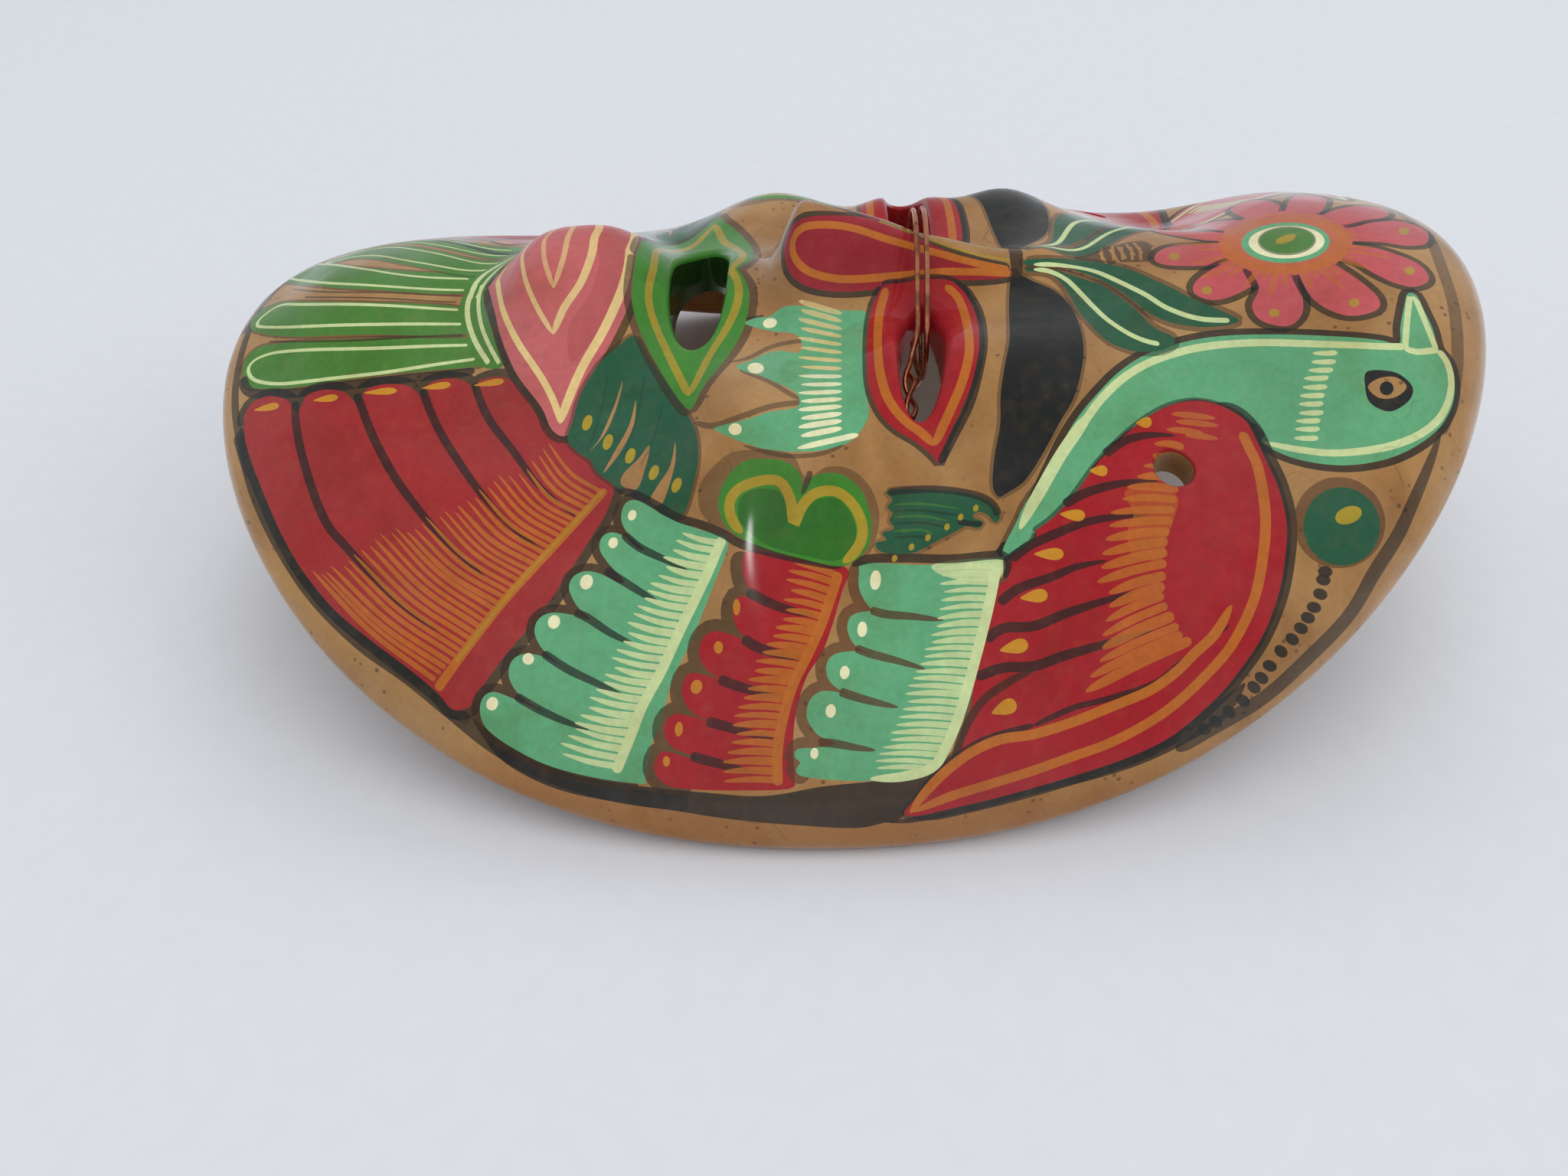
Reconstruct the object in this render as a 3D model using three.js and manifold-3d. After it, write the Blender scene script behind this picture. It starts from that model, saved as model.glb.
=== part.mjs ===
// A painted terracotta face mask lying face up, with a copper wire wound over the bridge of its nose.
//
// Frame: millimetres. +Z leaves the face, +Y runs towards the forehead and -Y towards the bearded
// chin. +X and -X are the two sides. The origin is under the middle of the mask, on the surface it
// lies on.
//
// The mask is one hollow shell. Its front is a saddle shaped dome: the two long sides come down to
// the table, and the chin and forehead ends stay raised. On that dome stand the beard, chin, lips,
// nose, cheeks, brows and forehead as soft swellings. Two eye slots, a mouth slot and two round
// hanging holes go right through the wall. The painting is flat colour and has no relief.
import * as THREE from 'three';
import { mergeVertices } from 'three/addons/utils/BufferGeometryUtils.js';
import Module from 'manifold-3d';

// Outline and dome
const LENGTH = 177;            // beard end to forehead end
const HALF_WIDTH = 69.1;       // middle line to the rim at the widest place
const SIDE_FULLNESS = 1.02;    // 1 is an ellipse, below 1 the outline is fuller
const SIDE_TAPER = -0.043;     // the outline is slightly narrower at the forehead
const SIDE_TAPER_ENDS = 0.165; // and fuller towards both ends
const WALL = 6;                // wall thickness of the clay
const DOME = 43.2;             // height of the plain dome in the middle
const DOME_LEAN = 0.2;         // the dome is higher towards the forehead
const DOME_PLAN = 1.75;        // fullness of the cross section, seen from above
const DOME_RISE = 1.65;        // fullness of the cross section, seen from the side
const FOREHEAD_LIFT = 39.4;    // how far the rim is off the table at the forehead end
const BEARD_LIFT = 32.4;       // the same at the beard end
const LIFT_POWER = 2.43;       // how suddenly the rim rises towards the ends
const FEATHER = 0.25;          // share of the way to the rim over which the features fade out

// Soft swellings (positive height) and hollows (negative) of the front: middle, spread and height.
// One that stands off the middle line is repeated on the other side. 'inside' is the share of it
// that the inner face follows. A 'plateau' has a flatter top along the face than a plain swelling.
const RELIEF = {
  chin: { x: 0, y: -37.7, spread_x: 19, spread_y: 11.4, height: 11.4, inside: 0.5, plateau: true },
  beard: { x: 0, y: -69.5, spread_x: 24, spread_y: 17, height: 6.5, inside: 0.9, plateau: true },
  lips: { x: 0, y: -18.5, spread_x: 11.4, spread_y: 7.6, height: 5.8, inside: 0.1 },
  cheek: { x: 32.2, y: -10.4, spread_x: 13.3, spread_y: 12.3, height: 6.2, inside: 0.8 },
  under_eye: { x: 22.7, y: 10.5, spread_x: 9.5, spread_y: 7.6, height: 6.2, inside: 0.4 },
  brow: { x: 25.6, y: 26.2, spread_x: 14.2, spread_y: 8.2, height: 4.6, inside: 0.6 },
  bridge: { x: 0, y: 29.5, spread_x: 6.6, spread_y: 4.5, height: 1.2, inside: 0 },
  forehead_root: { x: 0, y: 43, spread_x: 13, spread_y: 9, height: 1.8, inside: 0.5 },
  forehead: { x: 0, y: 64.5, spread_x: 30.3, spread_y: 22.7, height: 1.2, inside: 1 },
  temple: { x: 27, y: 52, spread_x: 15, spread_y: 10, height: -5.5, inside: 0.9 },
  mouth_hollow: { x: 0, y: -19.9, spread_x: 13, spread_y: 3.8, height: -2.6, inside: 0 },
  eye_hollow: { x: 18.5, y: 11, spread_x: 11, spread_y: 3.3, height: -3.4, inside: 0 },
};
// Hollow that a thumb leaves inside, behind the nose
const NOSE_HOLLOW = { x: 0, y: 1, spread_x: 7.5, spread_y: 14, height: 5 };

// Nose: a long drop shape, broad and high at the tip, narrow and low at the bridge
const NOSE = {
  tip: { y: -4.7, height: 12.2, half_width: 7.6, drop: 4.2 },
  bridge: { y: 27, height: 1.5, half_width: 3.4, drop: 4.0 },
  side_power: 2.4,
};

// Slots and holes
const EYE_SLOT = { x: 18.8, y: 11.0, half_length: 11.8, half_width: 3.0, flare: 0.2, slope: -0.06 };
const MOUTH_SLOT = { y: -19.9, half_length: 13.8, half_width: 4.1, squareness: 0.8 };
const HANGING_HOLE = { x: 35.6, y: 42.2, radius: 2.6, depth: 30 };
const CUTTER_LOW = 12;         // the slot cutters run from inside the hollow
const CUTTER_HIGH = 75;        // to well above the face

// Copper wire, wound twice over the bridge of the nose through both eye slots
const WIRE_RADIUS = 0.36;
const WIRE_SIDES = 6;
const WIRE_STEPS = 156;
const TWIST_RADIUS = 0.62;
const TWIST_TURNS = 1;
const TWIST_POINTS = 7;

// Fineness of the clay mesh
const STEPS_AROUND = 76;
const RINGS_OUTSIDE = 28;
const RINGS_INSIDE = 13;
const STEPS_RIM = 4;
const RING_CROWDING = 1.05;    // above 1 the rings stand closer together at the crown
const EYE_CORNERS = 26;
const MOUTH_CORNERS = 32;
const HOLE_CORNERS = 20;
const SLOPE_STEP = 1e-3;       // step in q and t for reading the slope of the dome
const CROWN_GUARD = 0.02;      // the slope is read no nearer to the crown than this
const WELD = 1e-4;             // corners closer than this are one corner

const clamp = (value) => Math.min(Math.max(value, 0), 1);
const smooth = (value) => clamp(value) ** 2 * (3 - 2 * clamp(value));
const bell = (value, power) => Math.exp(-(Math.abs(value) ** power));
const range = (count) => [...Array(count).keys()];

function swelling(x, y, s) {
  const along = bell((y - s.y) / s.spread_y, s.plateau ? 3 : 2);
  const near = bell((x - s.x) / s.spread_x, 2);
  const far = s.x === 0 ? 0 : bell((x + s.x) / s.spread_x, 2);
  return s.height * along * (near + far);
}

function noseHeight(x, y) {
  const { tip, bridge, side_power } = NOSE;
  const s = clamp((y - tip.y) / (bridge.y - tip.y));
  const height = tip.height + (bridge.height - tip.height) * s;
  const halfWidth = tip.half_width + (bridge.half_width - tip.half_width) * s;
  const belowTip = Math.max(tip.y - y, 0) / tip.drop;
  const overBridge = Math.max(y - bridge.y, 0) / bridge.drop;
  return height * bell(belowTip + overBridge, 2) * bell(x / halfWidth, side_power);
}

// How far out a point at q lies: 0 in the middle, 1 at the rim. The second one turns it round.
const outward = (q) => Math.sin(clamp(q) * Math.PI / 2) ** (2 / DOME_PLAN);
const outwardOf = (out) => Math.asin(clamp(out) ** (DOME_PLAN / 2)) * 2 / Math.PI;

// Plain dome without the features. q runs from 0 in the middle to 1 at the rim, t goes around.
function dome(q, t) {
  const ct = Math.cos(t);
  const st = Math.sin(t);
  const taper = 1 + SIDE_TAPER * st + SIDE_TAPER_ENDS * st * st;
  const reach = Math.sign(ct) * Math.abs(ct) ** SIDE_FULLNESS * taper;
  const out = outward(q);
  const up = Math.max(Math.cos(clamp(q) * Math.PI / 2), 0) ** (2 / DOME_RISE);
  const along = st * out;
  const lift = (along > 0 ? FOREHEAD_LIFT : BEARD_LIFT) * Math.abs(along) ** LIFT_POWER;
  const z = lift + WALL / 2 + (DOME - WALL / 2) * (1 + DOME_LEAN * along) * up;
  return new THREE.Vector3(HALF_WIDTH * reach * out, LENGTH / 2 * along, z);
}

function domeNormal(q, t) {
  const inner = Math.min(Math.max(q, CROWN_GUARD), 1 - SLOPE_STEP);
  const outwards = dome(inner + SLOPE_STEP, t).sub(dome(inner - SLOPE_STEP, t));
  const around = dome(inner, t + SLOPE_STEP).sub(dome(inner, t - SLOPE_STEP));
  return outwards.cross(around).normalize();
}

const feather = (q) => smooth((1 - outward(q)) / FEATHER);

function front(q, t) {
  const p = dome(q, t);
  const start = noseHeight(p.x, p.y);
  const relief = Object.values(RELIEF).reduce((sum, s) => sum + swelling(p.x, p.y, s), start);
  p.z += relief * feather(q);
  return p;
}

function back(q, t) {
  const p = dome(q, t).addScaledVector(domeNormal(q, t), -WALL);
  const start = swelling(p.x, p.y, NOSE_HOLLOW);
  const relief = Object.values(RELIEF).reduce((sum, s) => sum + s.inside * swelling(p.x, p.y, s), start);
  p.z += relief * feather(q);
  return p;
}

// Round edge of the wall: turn goes from 0 at the front face to pi at the inner face
function rim(turn, t) {
  const middle = dome(1, t).addScaledVector(domeNormal(1, t), -WALL / 2);
  middle.addScaledVector(domeNormal(1, t), Math.cos(turn) * WALL / 2);
  middle.z -= Math.sin(turn) * WALL / 2;
  return middle;
}

// The shell before its holes: rings from the crown over the rim to the ceiling of the hollow
function shellGeometry() {
  const angles = range(STEPS_AROUND).map((i) => 2 * Math.PI * (i + 0.5) / STEPS_AROUND);
  const makers = [
    ...range(RINGS_OUTSIDE).map((r) => (t) => front(((r + 1) / RINGS_OUTSIDE) ** RING_CROWDING, t)),
    ...range(STEPS_RIM - 1).map((k) => (t) => rim(Math.PI * (k + 1) / STEPS_RIM, t)),
    ...range(RINGS_INSIDE).map((r) => (t) => back(1 - r / RINGS_INSIDE, t)),
  ];
  const points = [front(0, 0), ...makers.flatMap((make) => angles.map(make)), back(0, 0)];
  const crown = 0;
  const ceiling = points.length - 1;
  const at = (ring, i) => 1 + ring * STEPS_AROUND + i % STEPS_AROUND;
  const last = makers.length - 1;
  const faces = [];
  for (const i of range(STEPS_AROUND)) {
    faces.push(crown, at(0, i), at(0, i + 1), ceiling, at(last, i + 1), at(last, i));
    for (const r of range(last)) {
      const [a, b, c, d] = [at(r, i), at(r + 1, i), at(r + 1, i + 1), at(r, i + 1)];
      // the shorter diagonal keeps the soft shapes smooth
      const shorter = points[a].distanceTo(points[c]) < points[b].distanceTo(points[d]);
      faces.push(...(shorter ? [a, b, c, a, c, d] : [a, b, d, b, c, d]));
    }
  }
  const geometry = new THREE.BufferGeometry();
  const numbers = points.flatMap((p) => p.toArray());
  geometry.setAttribute('position', new THREE.Float32BufferAttribute(numbers, 3));
  geometry.setIndex(faces);
  return geometry;
}

function eyeOutline(side) {
  const s = EYE_SLOT;
  return range(EYE_CORNERS).map((i) => {
    const u = side * 2 * Math.PI * i / EYE_CORNERS;
    const x = s.half_length * Math.cos(u);
    const y = s.y + s.slope * x + s.half_width * Math.sin(u) * (1 + s.flare * Math.cos(u));
    return new THREE.Vector2(side * (s.x + x), y);
  });
}

function mouthOutline() {
  const s = MOUTH_SLOT;
  const squared = (value) => Math.sign(value) * Math.abs(value) ** s.squareness;
  return range(MOUTH_CORNERS).map((i) => {
    const u = 2 * Math.PI * i / MOUTH_CORNERS;
    const x = s.half_length * squared(Math.cos(u));
    const y = s.y + s.half_width * squared(Math.sin(u));
    return new THREE.Vector2(x, y);
  });
}

// Upright cutter with the outline of an eye or of the mouth
function slotCutter(outline) {
  const upwards = { depth: CUTTER_HIGH - CUTTER_LOW, bevelEnabled: false, steps: 1 };
  return new THREE.ExtrudeGeometry(new THREE.Shape(outline), upwards).translate(0, 0, CUTTER_LOW);
}

// Place on the dome over (x, y), found by halving the step between the crown and the rim
function placeOver(x, y) {
  const angleOf = (out) => Math.asin(clamp(y / (LENGTH / 2 * out)));
  const widthAt = (q) => Math.abs(dome(q, angleOf(outward(q))).x);
  let [low, high] = [outwardOf(y / (LENGTH / 2)), 1];
  while (high - low > WELD) {
    const middle = (low + high) / 2;
    [low, high] = widthAt(middle) < Math.abs(x) ? [middle, high] : [low, middle];
  }
  const turn = angleOf(outward(low));
  return { q: low, t: x < 0 ? Math.PI - turn : turn };
}

// Round cutter square to the dome
function holeCutter(side) {
  const { x, y, radius, depth } = HANGING_HOLE;
  const { q, t } = placeOver(side * x, y);
  const upright = new THREE.Vector3(0, 1, 0);
  const turn = new THREE.Quaternion().setFromUnitVectors(upright, domeNormal(q, t));
  const cutter = new THREE.CylinderGeometry(radius, radius, depth, HOLE_CORNERS);
  return cutter.applyQuaternion(turn).translate(side * x, y, front(q, t).z);
}

const wasm = await Module();
wasm.setup();

function solidOf(geometry) {
  const bare = geometry.clone();
  bare.deleteAttribute('normal');
  bare.deleteAttribute('uv');
  const merged = mergeVertices(bare, WELD);
  return new wasm.Manifold(new wasm.Mesh({
    numProp: 3,
    vertProperties: new Float32Array(merged.attributes.position.array),
    triVerts: new Uint32Array(merged.index.array),
  }));
}

function geometryOf(solid) {
  const mesh = solid.getMesh();
  const geometry = new THREE.BufferGeometry();
  geometry.setAttribute('position', new THREE.BufferAttribute(new Float32Array(mesh.vertProperties), 3));
  geometry.setIndex(new THREE.BufferAttribute(new Uint32Array(mesh.triVerts), 1));
  geometry.computeVertexNormals();
  return geometry;
}

function maskGeometry() {
  const cutters = [
    slotCutter(mouthOutline()),
    slotCutter(eyeOutline(1)),
    slotCutter(eyeOutline(-1)),
    holeCutter(1),
    holeCutter(-1),
  ];
  const whole = solidOf(shellGeometry());
  return geometryOf(cutters.reduce((clay, cutter) => clay.subtract(solidOf(cutter)), whole));
}

// The wire is one piece. It starts as a tail in the +X eye slot, goes twice over the nose and twice
// behind it, and its end is twisted together with its beginning.
const TAIL_FROM = new THREE.Vector3(26.6, 9.7, 37.2);
const TAIL_TO = new THREE.Vector3(18.8, 9.5, 40.2);

function tail(strand) {
  const axis = TAIL_TO.clone().sub(TAIL_FROM).normalize();
  const side = new THREE.Vector3(0, 1, 0).cross(axis).normalize();
  const up = axis.clone().cross(side);
  return range(TWIST_POINTS).map((i) => {
    const s = i / (TWIST_POINTS - 1);
    const turn = 2 * Math.PI * TWIST_TURNS * s + strand * Math.PI;
    const middle = TAIL_FROM.clone().lerp(TAIL_TO, s);
    middle.addScaledVector(side, TWIST_RADIUS * Math.cos(turn));
    return middle.addScaledVector(up, TWIST_RADIUS * Math.sin(turn));
  });
}

const point = (x, y, z) => new THREE.Vector3(x, y, z);

// Over the nose from the +X slot to the -X slot at y. 'lift' raises the upper part of the turn.
function overNose(y, lift) {
  return [
    point(14.6, y, 43.4), point(11.4, y, 47.0), point(8.0, y, 49.8), point(4.4, y, 51.8 + lift),
    point(0, y, 52.6 + lift), point(-4.4, y, 51.8 + lift), point(-8.0, y, 49.8), point(-11.4, y, 47.0),
    point(-14.4, y, 43.4),
  ];
}

function wireRoute() {
  return [
    ...tail(0),
    point(16.4, 10.0, 41.0),
    ...overNose(10.7, 0),
    point(-15.0, 10.8, 39.4), point(-13.2, 10.9, 35.6), point(-8.4, 11.0, 33.6), point(0, 11.2, 33.2),
    point(8.4, 11.5, 33.6), point(13.4, 11.8, 35.4), point(15.2, 12.0, 39.2),
    ...overNose(12.0, 0.3),
    point(-15.0, 12.1, 39.4), point(-13.2, 12.2, 35.2), point(-8.4, 12.5, 32.6), point(0, 12.6, 31.8),
    point(8.4, 11.8, 31.6), point(13.6, 10.5, 33.8), point(17.0, 9.7, 37.8),
    ...tail(1).reverse(),
  ];
}

function wireGeometry() {
  const route = new THREE.CatmullRomCurve3(wireRoute(), false, 'centripetal');
  const section = new THREE.Shape(range(WIRE_SIDES).map((i) => {
    const turn = 2 * Math.PI * i / WIRE_SIDES;
    return new THREE.Vector2(WIRE_RADIUS * Math.cos(turn), WIRE_RADIUS * Math.sin(turn));
  }));
  const alongRoute = { steps: WIRE_STEPS, bevelEnabled: false, extrudePath: route };
  return new THREE.ExtrudeGeometry(section, alongRoute);
}

const CLAY = new THREE.MeshStandardMaterial({ color: 0xb07c45, roughness: 0.32, metalness: 0 });
const COPPER = new THREE.MeshStandardMaterial({ color: 0x9a5a35, roughness: 0.35, metalness: 1 });

function piece(name, geometry, material) {
  const mesh = new THREE.Mesh(geometry, material);
  mesh.name = name;
  return mesh;
}

const mask = new THREE.Group();
mask.name = 'mask';
mask.add(piece('mask_shell', maskGeometry(), CLAY));
mask.add(piece('bridge_wire', wireGeometry(), COPPER));

export default mask;
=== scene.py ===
"""A painted clay face mask lying face up on white paper, with copper wire wound over its nose."""
import logging
import math
from dataclasses import dataclass, field
from enum import Enum
from typing import Callable, Iterable, Sequence

import bpy
import numpy as np
from mathutils import Matrix, Vector, noise
from mathutils.bvhtree import BVHTree
from mathutils.geometry import delaunay_2d_cdt


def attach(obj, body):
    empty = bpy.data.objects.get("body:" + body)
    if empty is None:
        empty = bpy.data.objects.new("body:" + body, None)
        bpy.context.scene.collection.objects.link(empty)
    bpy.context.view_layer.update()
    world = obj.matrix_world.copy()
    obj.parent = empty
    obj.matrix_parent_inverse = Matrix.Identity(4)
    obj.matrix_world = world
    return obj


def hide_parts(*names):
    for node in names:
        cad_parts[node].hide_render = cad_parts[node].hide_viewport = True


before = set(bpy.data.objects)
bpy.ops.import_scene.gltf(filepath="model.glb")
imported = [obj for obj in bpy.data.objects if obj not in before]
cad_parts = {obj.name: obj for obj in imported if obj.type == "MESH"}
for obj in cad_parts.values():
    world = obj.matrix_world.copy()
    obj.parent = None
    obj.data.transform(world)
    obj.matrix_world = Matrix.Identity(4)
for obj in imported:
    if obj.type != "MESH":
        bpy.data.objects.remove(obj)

LOG = logging.getLogger("mask")
MM = 0.001
TURN = 2 * math.pi
Point = tuple[float, float]
Colour = tuple[float, float, float]


def linear(colour: Colour) -> Colour:
    """Linear light values of a colour given in 0 to 255 as a screen shows it."""
    return tuple(((c / 255 + 0.055) / 1.055) ** 2.4 if c > 10 else c / 3295 for c in colour)


class Paint(Enum):
    """Paints of the mask, each a screen colour. BARE wipes back to the clay."""

    BARE = (0, 0, 0)
    BEARD_GREEN = (74, 128, 50)
    LEAF_GREEN = (36, 88, 60)
    APPLE_GREEN = (62, 132, 42)
    SHADE_GREEN = (34, 90, 28)
    HOLE_GREEN = (32, 66, 24)
    MINT = (98, 170, 121)
    PALE = (206, 220, 158)
    CREAM = (240, 236, 190)
    STRAW = (232, 202, 136)
    OCHRE = (170, 146, 40)
    AMBER = (204, 140, 38)
    ORANGE = (190, 108, 36)
    FEATHER_RED = (160, 44, 45)
    RED = (164, 28, 36)
    CRIMSON = (150, 34, 44)
    CHIN_PINK = (196, 100, 100)
    CHIN_SHADE = (158, 60, 62)
    PETAL_PINK = (194, 86, 90)
    BLACK = (30, 32, 30)
    INK = (52, 40, 26)
    BROWN = (86, 54, 32)


@dataclass(frozen=True)
class Swelling:
    """A soft swelling or hollow of the clay, repeated on the far side when it stands off the middle.

    All lengths are in millimetres. inside is the share that the inner face follows.
    """

    x: float
    y: float
    spread_x: float
    spread_y: float
    height: float
    inside: float
    power: int = 2

    def at(self, x: np.ndarray, y: np.ndarray) -> np.ndarray:
        """Height of the swelling over the places x, y."""
        along = np.exp(-np.abs((y - self.y) / self.spread_y) ** self.power)
        near = np.exp(-(((x - self.x) / self.spread_x) ** 2))
        far = np.exp(-(((x + self.x) / self.spread_x) ** 2)) if self.x else 0.0
        return self.height * along * (near + far)


RELIEF = {
    "chin": Swelling(0, -37.7, 19, 11.4, 11.4, 0.5, 3),
    "beard": Swelling(0, -69.5, 24, 17, 6.5, 0.9, 3),
    "lips": Swelling(0, -18.5, 11.4, 7.6, 5.8, 0.1),
    "cheek": Swelling(32.2, -10.4, 13.3, 12.3, 6.2, 0.8),
    "under eye": Swelling(22.7, 10.5, 9.5, 7.6, 6.2, 0.4),
    "brow": Swelling(25.6, 26.2, 14.2, 8.2, 4.6, 0.6),
    "bridge": Swelling(0, 29.5, 6.6, 4.5, 1.2, 0),
    "forehead root": Swelling(0, 43, 13, 9, 1.8, 0.5),
    "forehead": Swelling(0, 64.5, 30.3, 22.7, 1.2, 1),
    "temple": Swelling(27, 52, 15, 10, -5.5, 0.9),
    "mouth hollow": Swelling(0, -19.9, 13, 3.8, -2.6, 0),
    "eye hollow": Swelling(18.5, 11, 11, 3.3, -3.4, 0),
}
NOSE_HOLLOW = Swelling(0, 1, 7.5, 14, 5, 1)


def smooth(value: np.ndarray) -> np.ndarray:
    """Soft step of values from 0 to 1."""
    value = np.clip(value, 0, 1)
    return value * value * (3 - 2 * value)


@dataclass(frozen=True)
class Nose:
    """The long drop of the nose, broad and high at the tip and narrow at the bridge, in millimetres."""

    tip_y: float = -4.7
    tip_height: float = 12.2
    tip_half_width: float = 7.6
    tip_drop: float = 4.2
    bridge_y: float = 27.0
    bridge_height: float = 1.5
    bridge_half_width: float = 3.4
    bridge_drop: float = 4.0
    side_power: float = 2.4

    def at(self, x: np.ndarray, y: np.ndarray) -> np.ndarray:
        """Height of the nose over the places x, y."""
        share = np.clip((y - self.tip_y) / (self.bridge_y - self.tip_y), 0, 1)
        height = self.tip_height + (self.bridge_height - self.tip_height) * share
        half = self.tip_half_width + (self.bridge_half_width - self.tip_half_width) * share
        below = np.maximum(self.tip_y - y, 0) / self.tip_drop
        over = np.maximum(y - self.bridge_y, 0) / self.bridge_drop
        return height * np.exp(-((below + over) ** 2)) * np.exp(-np.abs(x / half) ** self.side_power)


@dataclass(frozen=True)
class FaceForm:
    """The clay form: a saddle shaped dome with its features, in millimetres.

    A place on the form is a pair on a flat chart: its distance from the middle of the chart, over
    chart_x and chart_y, is how far out it lies, and its direction is the way round.
    """

    length: float = 177.0
    half_width: float = 69.1
    side_fullness: float = 1.02
    side_taper: float = -0.043
    side_taper_ends: float = 0.165
    wall: float = 6.0
    crown: float = 43.2
    crown_lean: float = 0.2
    plan: float = 1.75
    rise: float = 1.65
    forehead_lift: float = 39.4
    beard_lift: float = 32.4
    lift_power: float = 2.43
    feather: float = 0.25
    chart_x: float = 92.0
    chart_y: float = 108.0
    nose: Nose = Nose()
    hand_waves: tuple = ((0.21, 0.11, 0.4, 0.13), (-0.09, 0.17, 1.9, 0.15), (0.31, -0.24, 3.1, 0.07))

    def polar(self, chart: np.ndarray) -> tuple[np.ndarray, np.ndarray]:
        """How far out and which way round chart places lie."""
        u = chart[..., 0] / self.chart_x
        v = chart[..., 1] / self.chart_y
        return np.hypot(u, v), np.arctan2(v, u)

    def chart(self, out: np.ndarray, way: np.ndarray) -> np.ndarray:
        """Chart places from how far out and which way round they lie."""
        return np.stack([self.chart_x * out * np.cos(way), self.chart_y * out * np.sin(way)], -1)

    def dome(self, chart: np.ndarray) -> tuple[np.ndarray, np.ndarray]:
        """Places of the plain dome, and how much of the relief stands there."""
        q, way = self.polar(chart)
        across, along = np.cos(way), np.sin(way)
        taper = 1 + self.side_taper * along + self.side_taper_ends * along**2
        reach = np.sign(across) * np.abs(across) ** self.side_fullness * taper
        angle = np.clip(q, 0, 1) * math.pi / 2
        out = np.sin(angle) ** (2 / self.plan)
        up = np.maximum(np.cos(angle), 0) ** (2 / self.rise)
        far = along * out
        lift = np.where(far > 0, self.forehead_lift, self.beard_lift) * np.abs(far) ** self.lift_power
        half_wall = self.wall / 2
        z = lift + half_wall + (self.crown - half_wall) * (1 + self.crown_lean * far) * up
        place = np.stack([self.half_width * reach * out, self.length / 2 * far, z], -1)
        return place, smooth((1 - out) / self.feather)

    def normals(self, chart: np.ndarray, surface: Callable[[np.ndarray], np.ndarray]) -> np.ndarray:
        """Outward unit normals of a surface over chart places."""
        across, along = self.slopes(chart, surface)
        normal = np.cross(across, along)
        return normal / np.maximum(np.linalg.norm(normal, axis=-1, keepdims=True), 1e-12)

    def slopes(self, chart: np.ndarray, surface: Callable) -> tuple[np.ndarray, np.ndarray]:
        """How a surface moves for one step across and one step along the chart."""
        inner = self.held_in(chart, 0.998)
        step = 0.03
        east, north = np.array([step, 0.0]), np.array([0.0, step])
        across = (surface(inner + east) - surface(inner - east)) / (2 * step)
        along = (surface(inner + north) - surface(inner - north)) / (2 * step)
        return across, along

    def held_in(self, chart: np.ndarray, limit: float) -> np.ndarray:
        """Chart places moved inwards where they lie further out than limit."""
        q, _ = self.polar(chart)
        return chart * np.minimum(1, limit / np.maximum(q, 1e-9))[..., None]

    def front(self, chart: np.ndarray) -> np.ndarray:
        """Places of the painted face."""
        place, share = self.dome(chart)
        x, y = place[..., 0], place[..., 1]
        relief = self.nose.at(x, y) + sum(swelling.at(x, y) for swelling in RELIEF.values())
        place[..., 2] += relief * share
        return place

    def skin(self, chart: np.ndarray) -> np.ndarray:
        """The painted face with the slow waves that hands leave in clay."""
        place = self.front(chart)
        x, y = place[..., 0].copy(), place[..., 1].copy()
        for along_x, along_y, phase, height in self.hand_waves:
            place[..., 2] += height * np.sin(along_x * x + along_y * y + phase) * self.dome(chart)[1]
        return place

    def back(self, chart: np.ndarray) -> np.ndarray:
        """Places of the inner face."""
        dome, share = self.dome(chart)
        place = dome - self.wall * self.normals(chart, lambda c: self.dome(c)[0])
        x, y = place[..., 0], place[..., 1]
        relief = NOSE_HOLLOW.at(x, y) + sum(s.inside * s.at(x, y) for s in RELIEF.values())
        place[..., 2] += relief * share
        return place


@dataclass(frozen=True)
class PhotoCamera:
    """The camera of the photograph, in millimetres and degrees, with its picture size in pixels."""

    x: float = 165.5
    y: float = -1.8
    height: float = 132.4
    turned: float = -2.42
    down: float = 41.9
    tilted: float = -1.43
    focal_pixels: float = 1657.0
    picture: tuple[int, int] = (2048, 1536)

    def axes(self) -> tuple[Vector, Vector, Vector]:
        """Directions of the picture's right side, its lower side and the view."""
        turned, down, tilted = (math.radians(a) for a in (self.turned, self.down, self.tilted))
        level = Vector((-math.cos(turned), math.sin(turned), 0))
        right = Vector((math.sin(turned), math.cos(turned), 0))
        up = Vector((0, 0, 1))
        view = math.cos(down) * level - math.sin(down) * up
        low = -math.sin(down) * level - math.cos(down) * up
        cos, sin = math.cos(tilted), math.sin(tilted)
        return right * cos - low * sin, right * sin + low * cos, view

    def place(self) -> Vector:
        """Where the camera stands."""
        return Vector((self.x, self.y, self.height))

    def ray(self, pixel: Point) -> Vector:
        """Direction in which a pixel of the photograph looks."""
        right, low, view = self.axes()
        across = (pixel[0] - self.picture[0] / 2) / self.focal_pixels
        below = (pixel[1] - self.picture[1] / 2) / self.focal_pixels
        return (view + right * across + low * below).normalized()

    def build(self) -> None:
        """Stand Blender's camera where the photograph was taken."""
        bpy.ops.object.camera_add()
        camera = bpy.context.object
        camera.name = "photo_camera"
        camera.data.sensor_width = 36.0
        camera.data.lens = self.focal_pixels / self.picture[0] * camera.data.sensor_width
        camera.data.clip_start = 0.01
        right, low, view = self.axes()
        turn = Matrix((right, -low, -view)).transposed().to_4x4()
        camera.matrix_world = Matrix.Translation(self.place() * MM) @ turn
        bpy.context.scene.camera = camera


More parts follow.
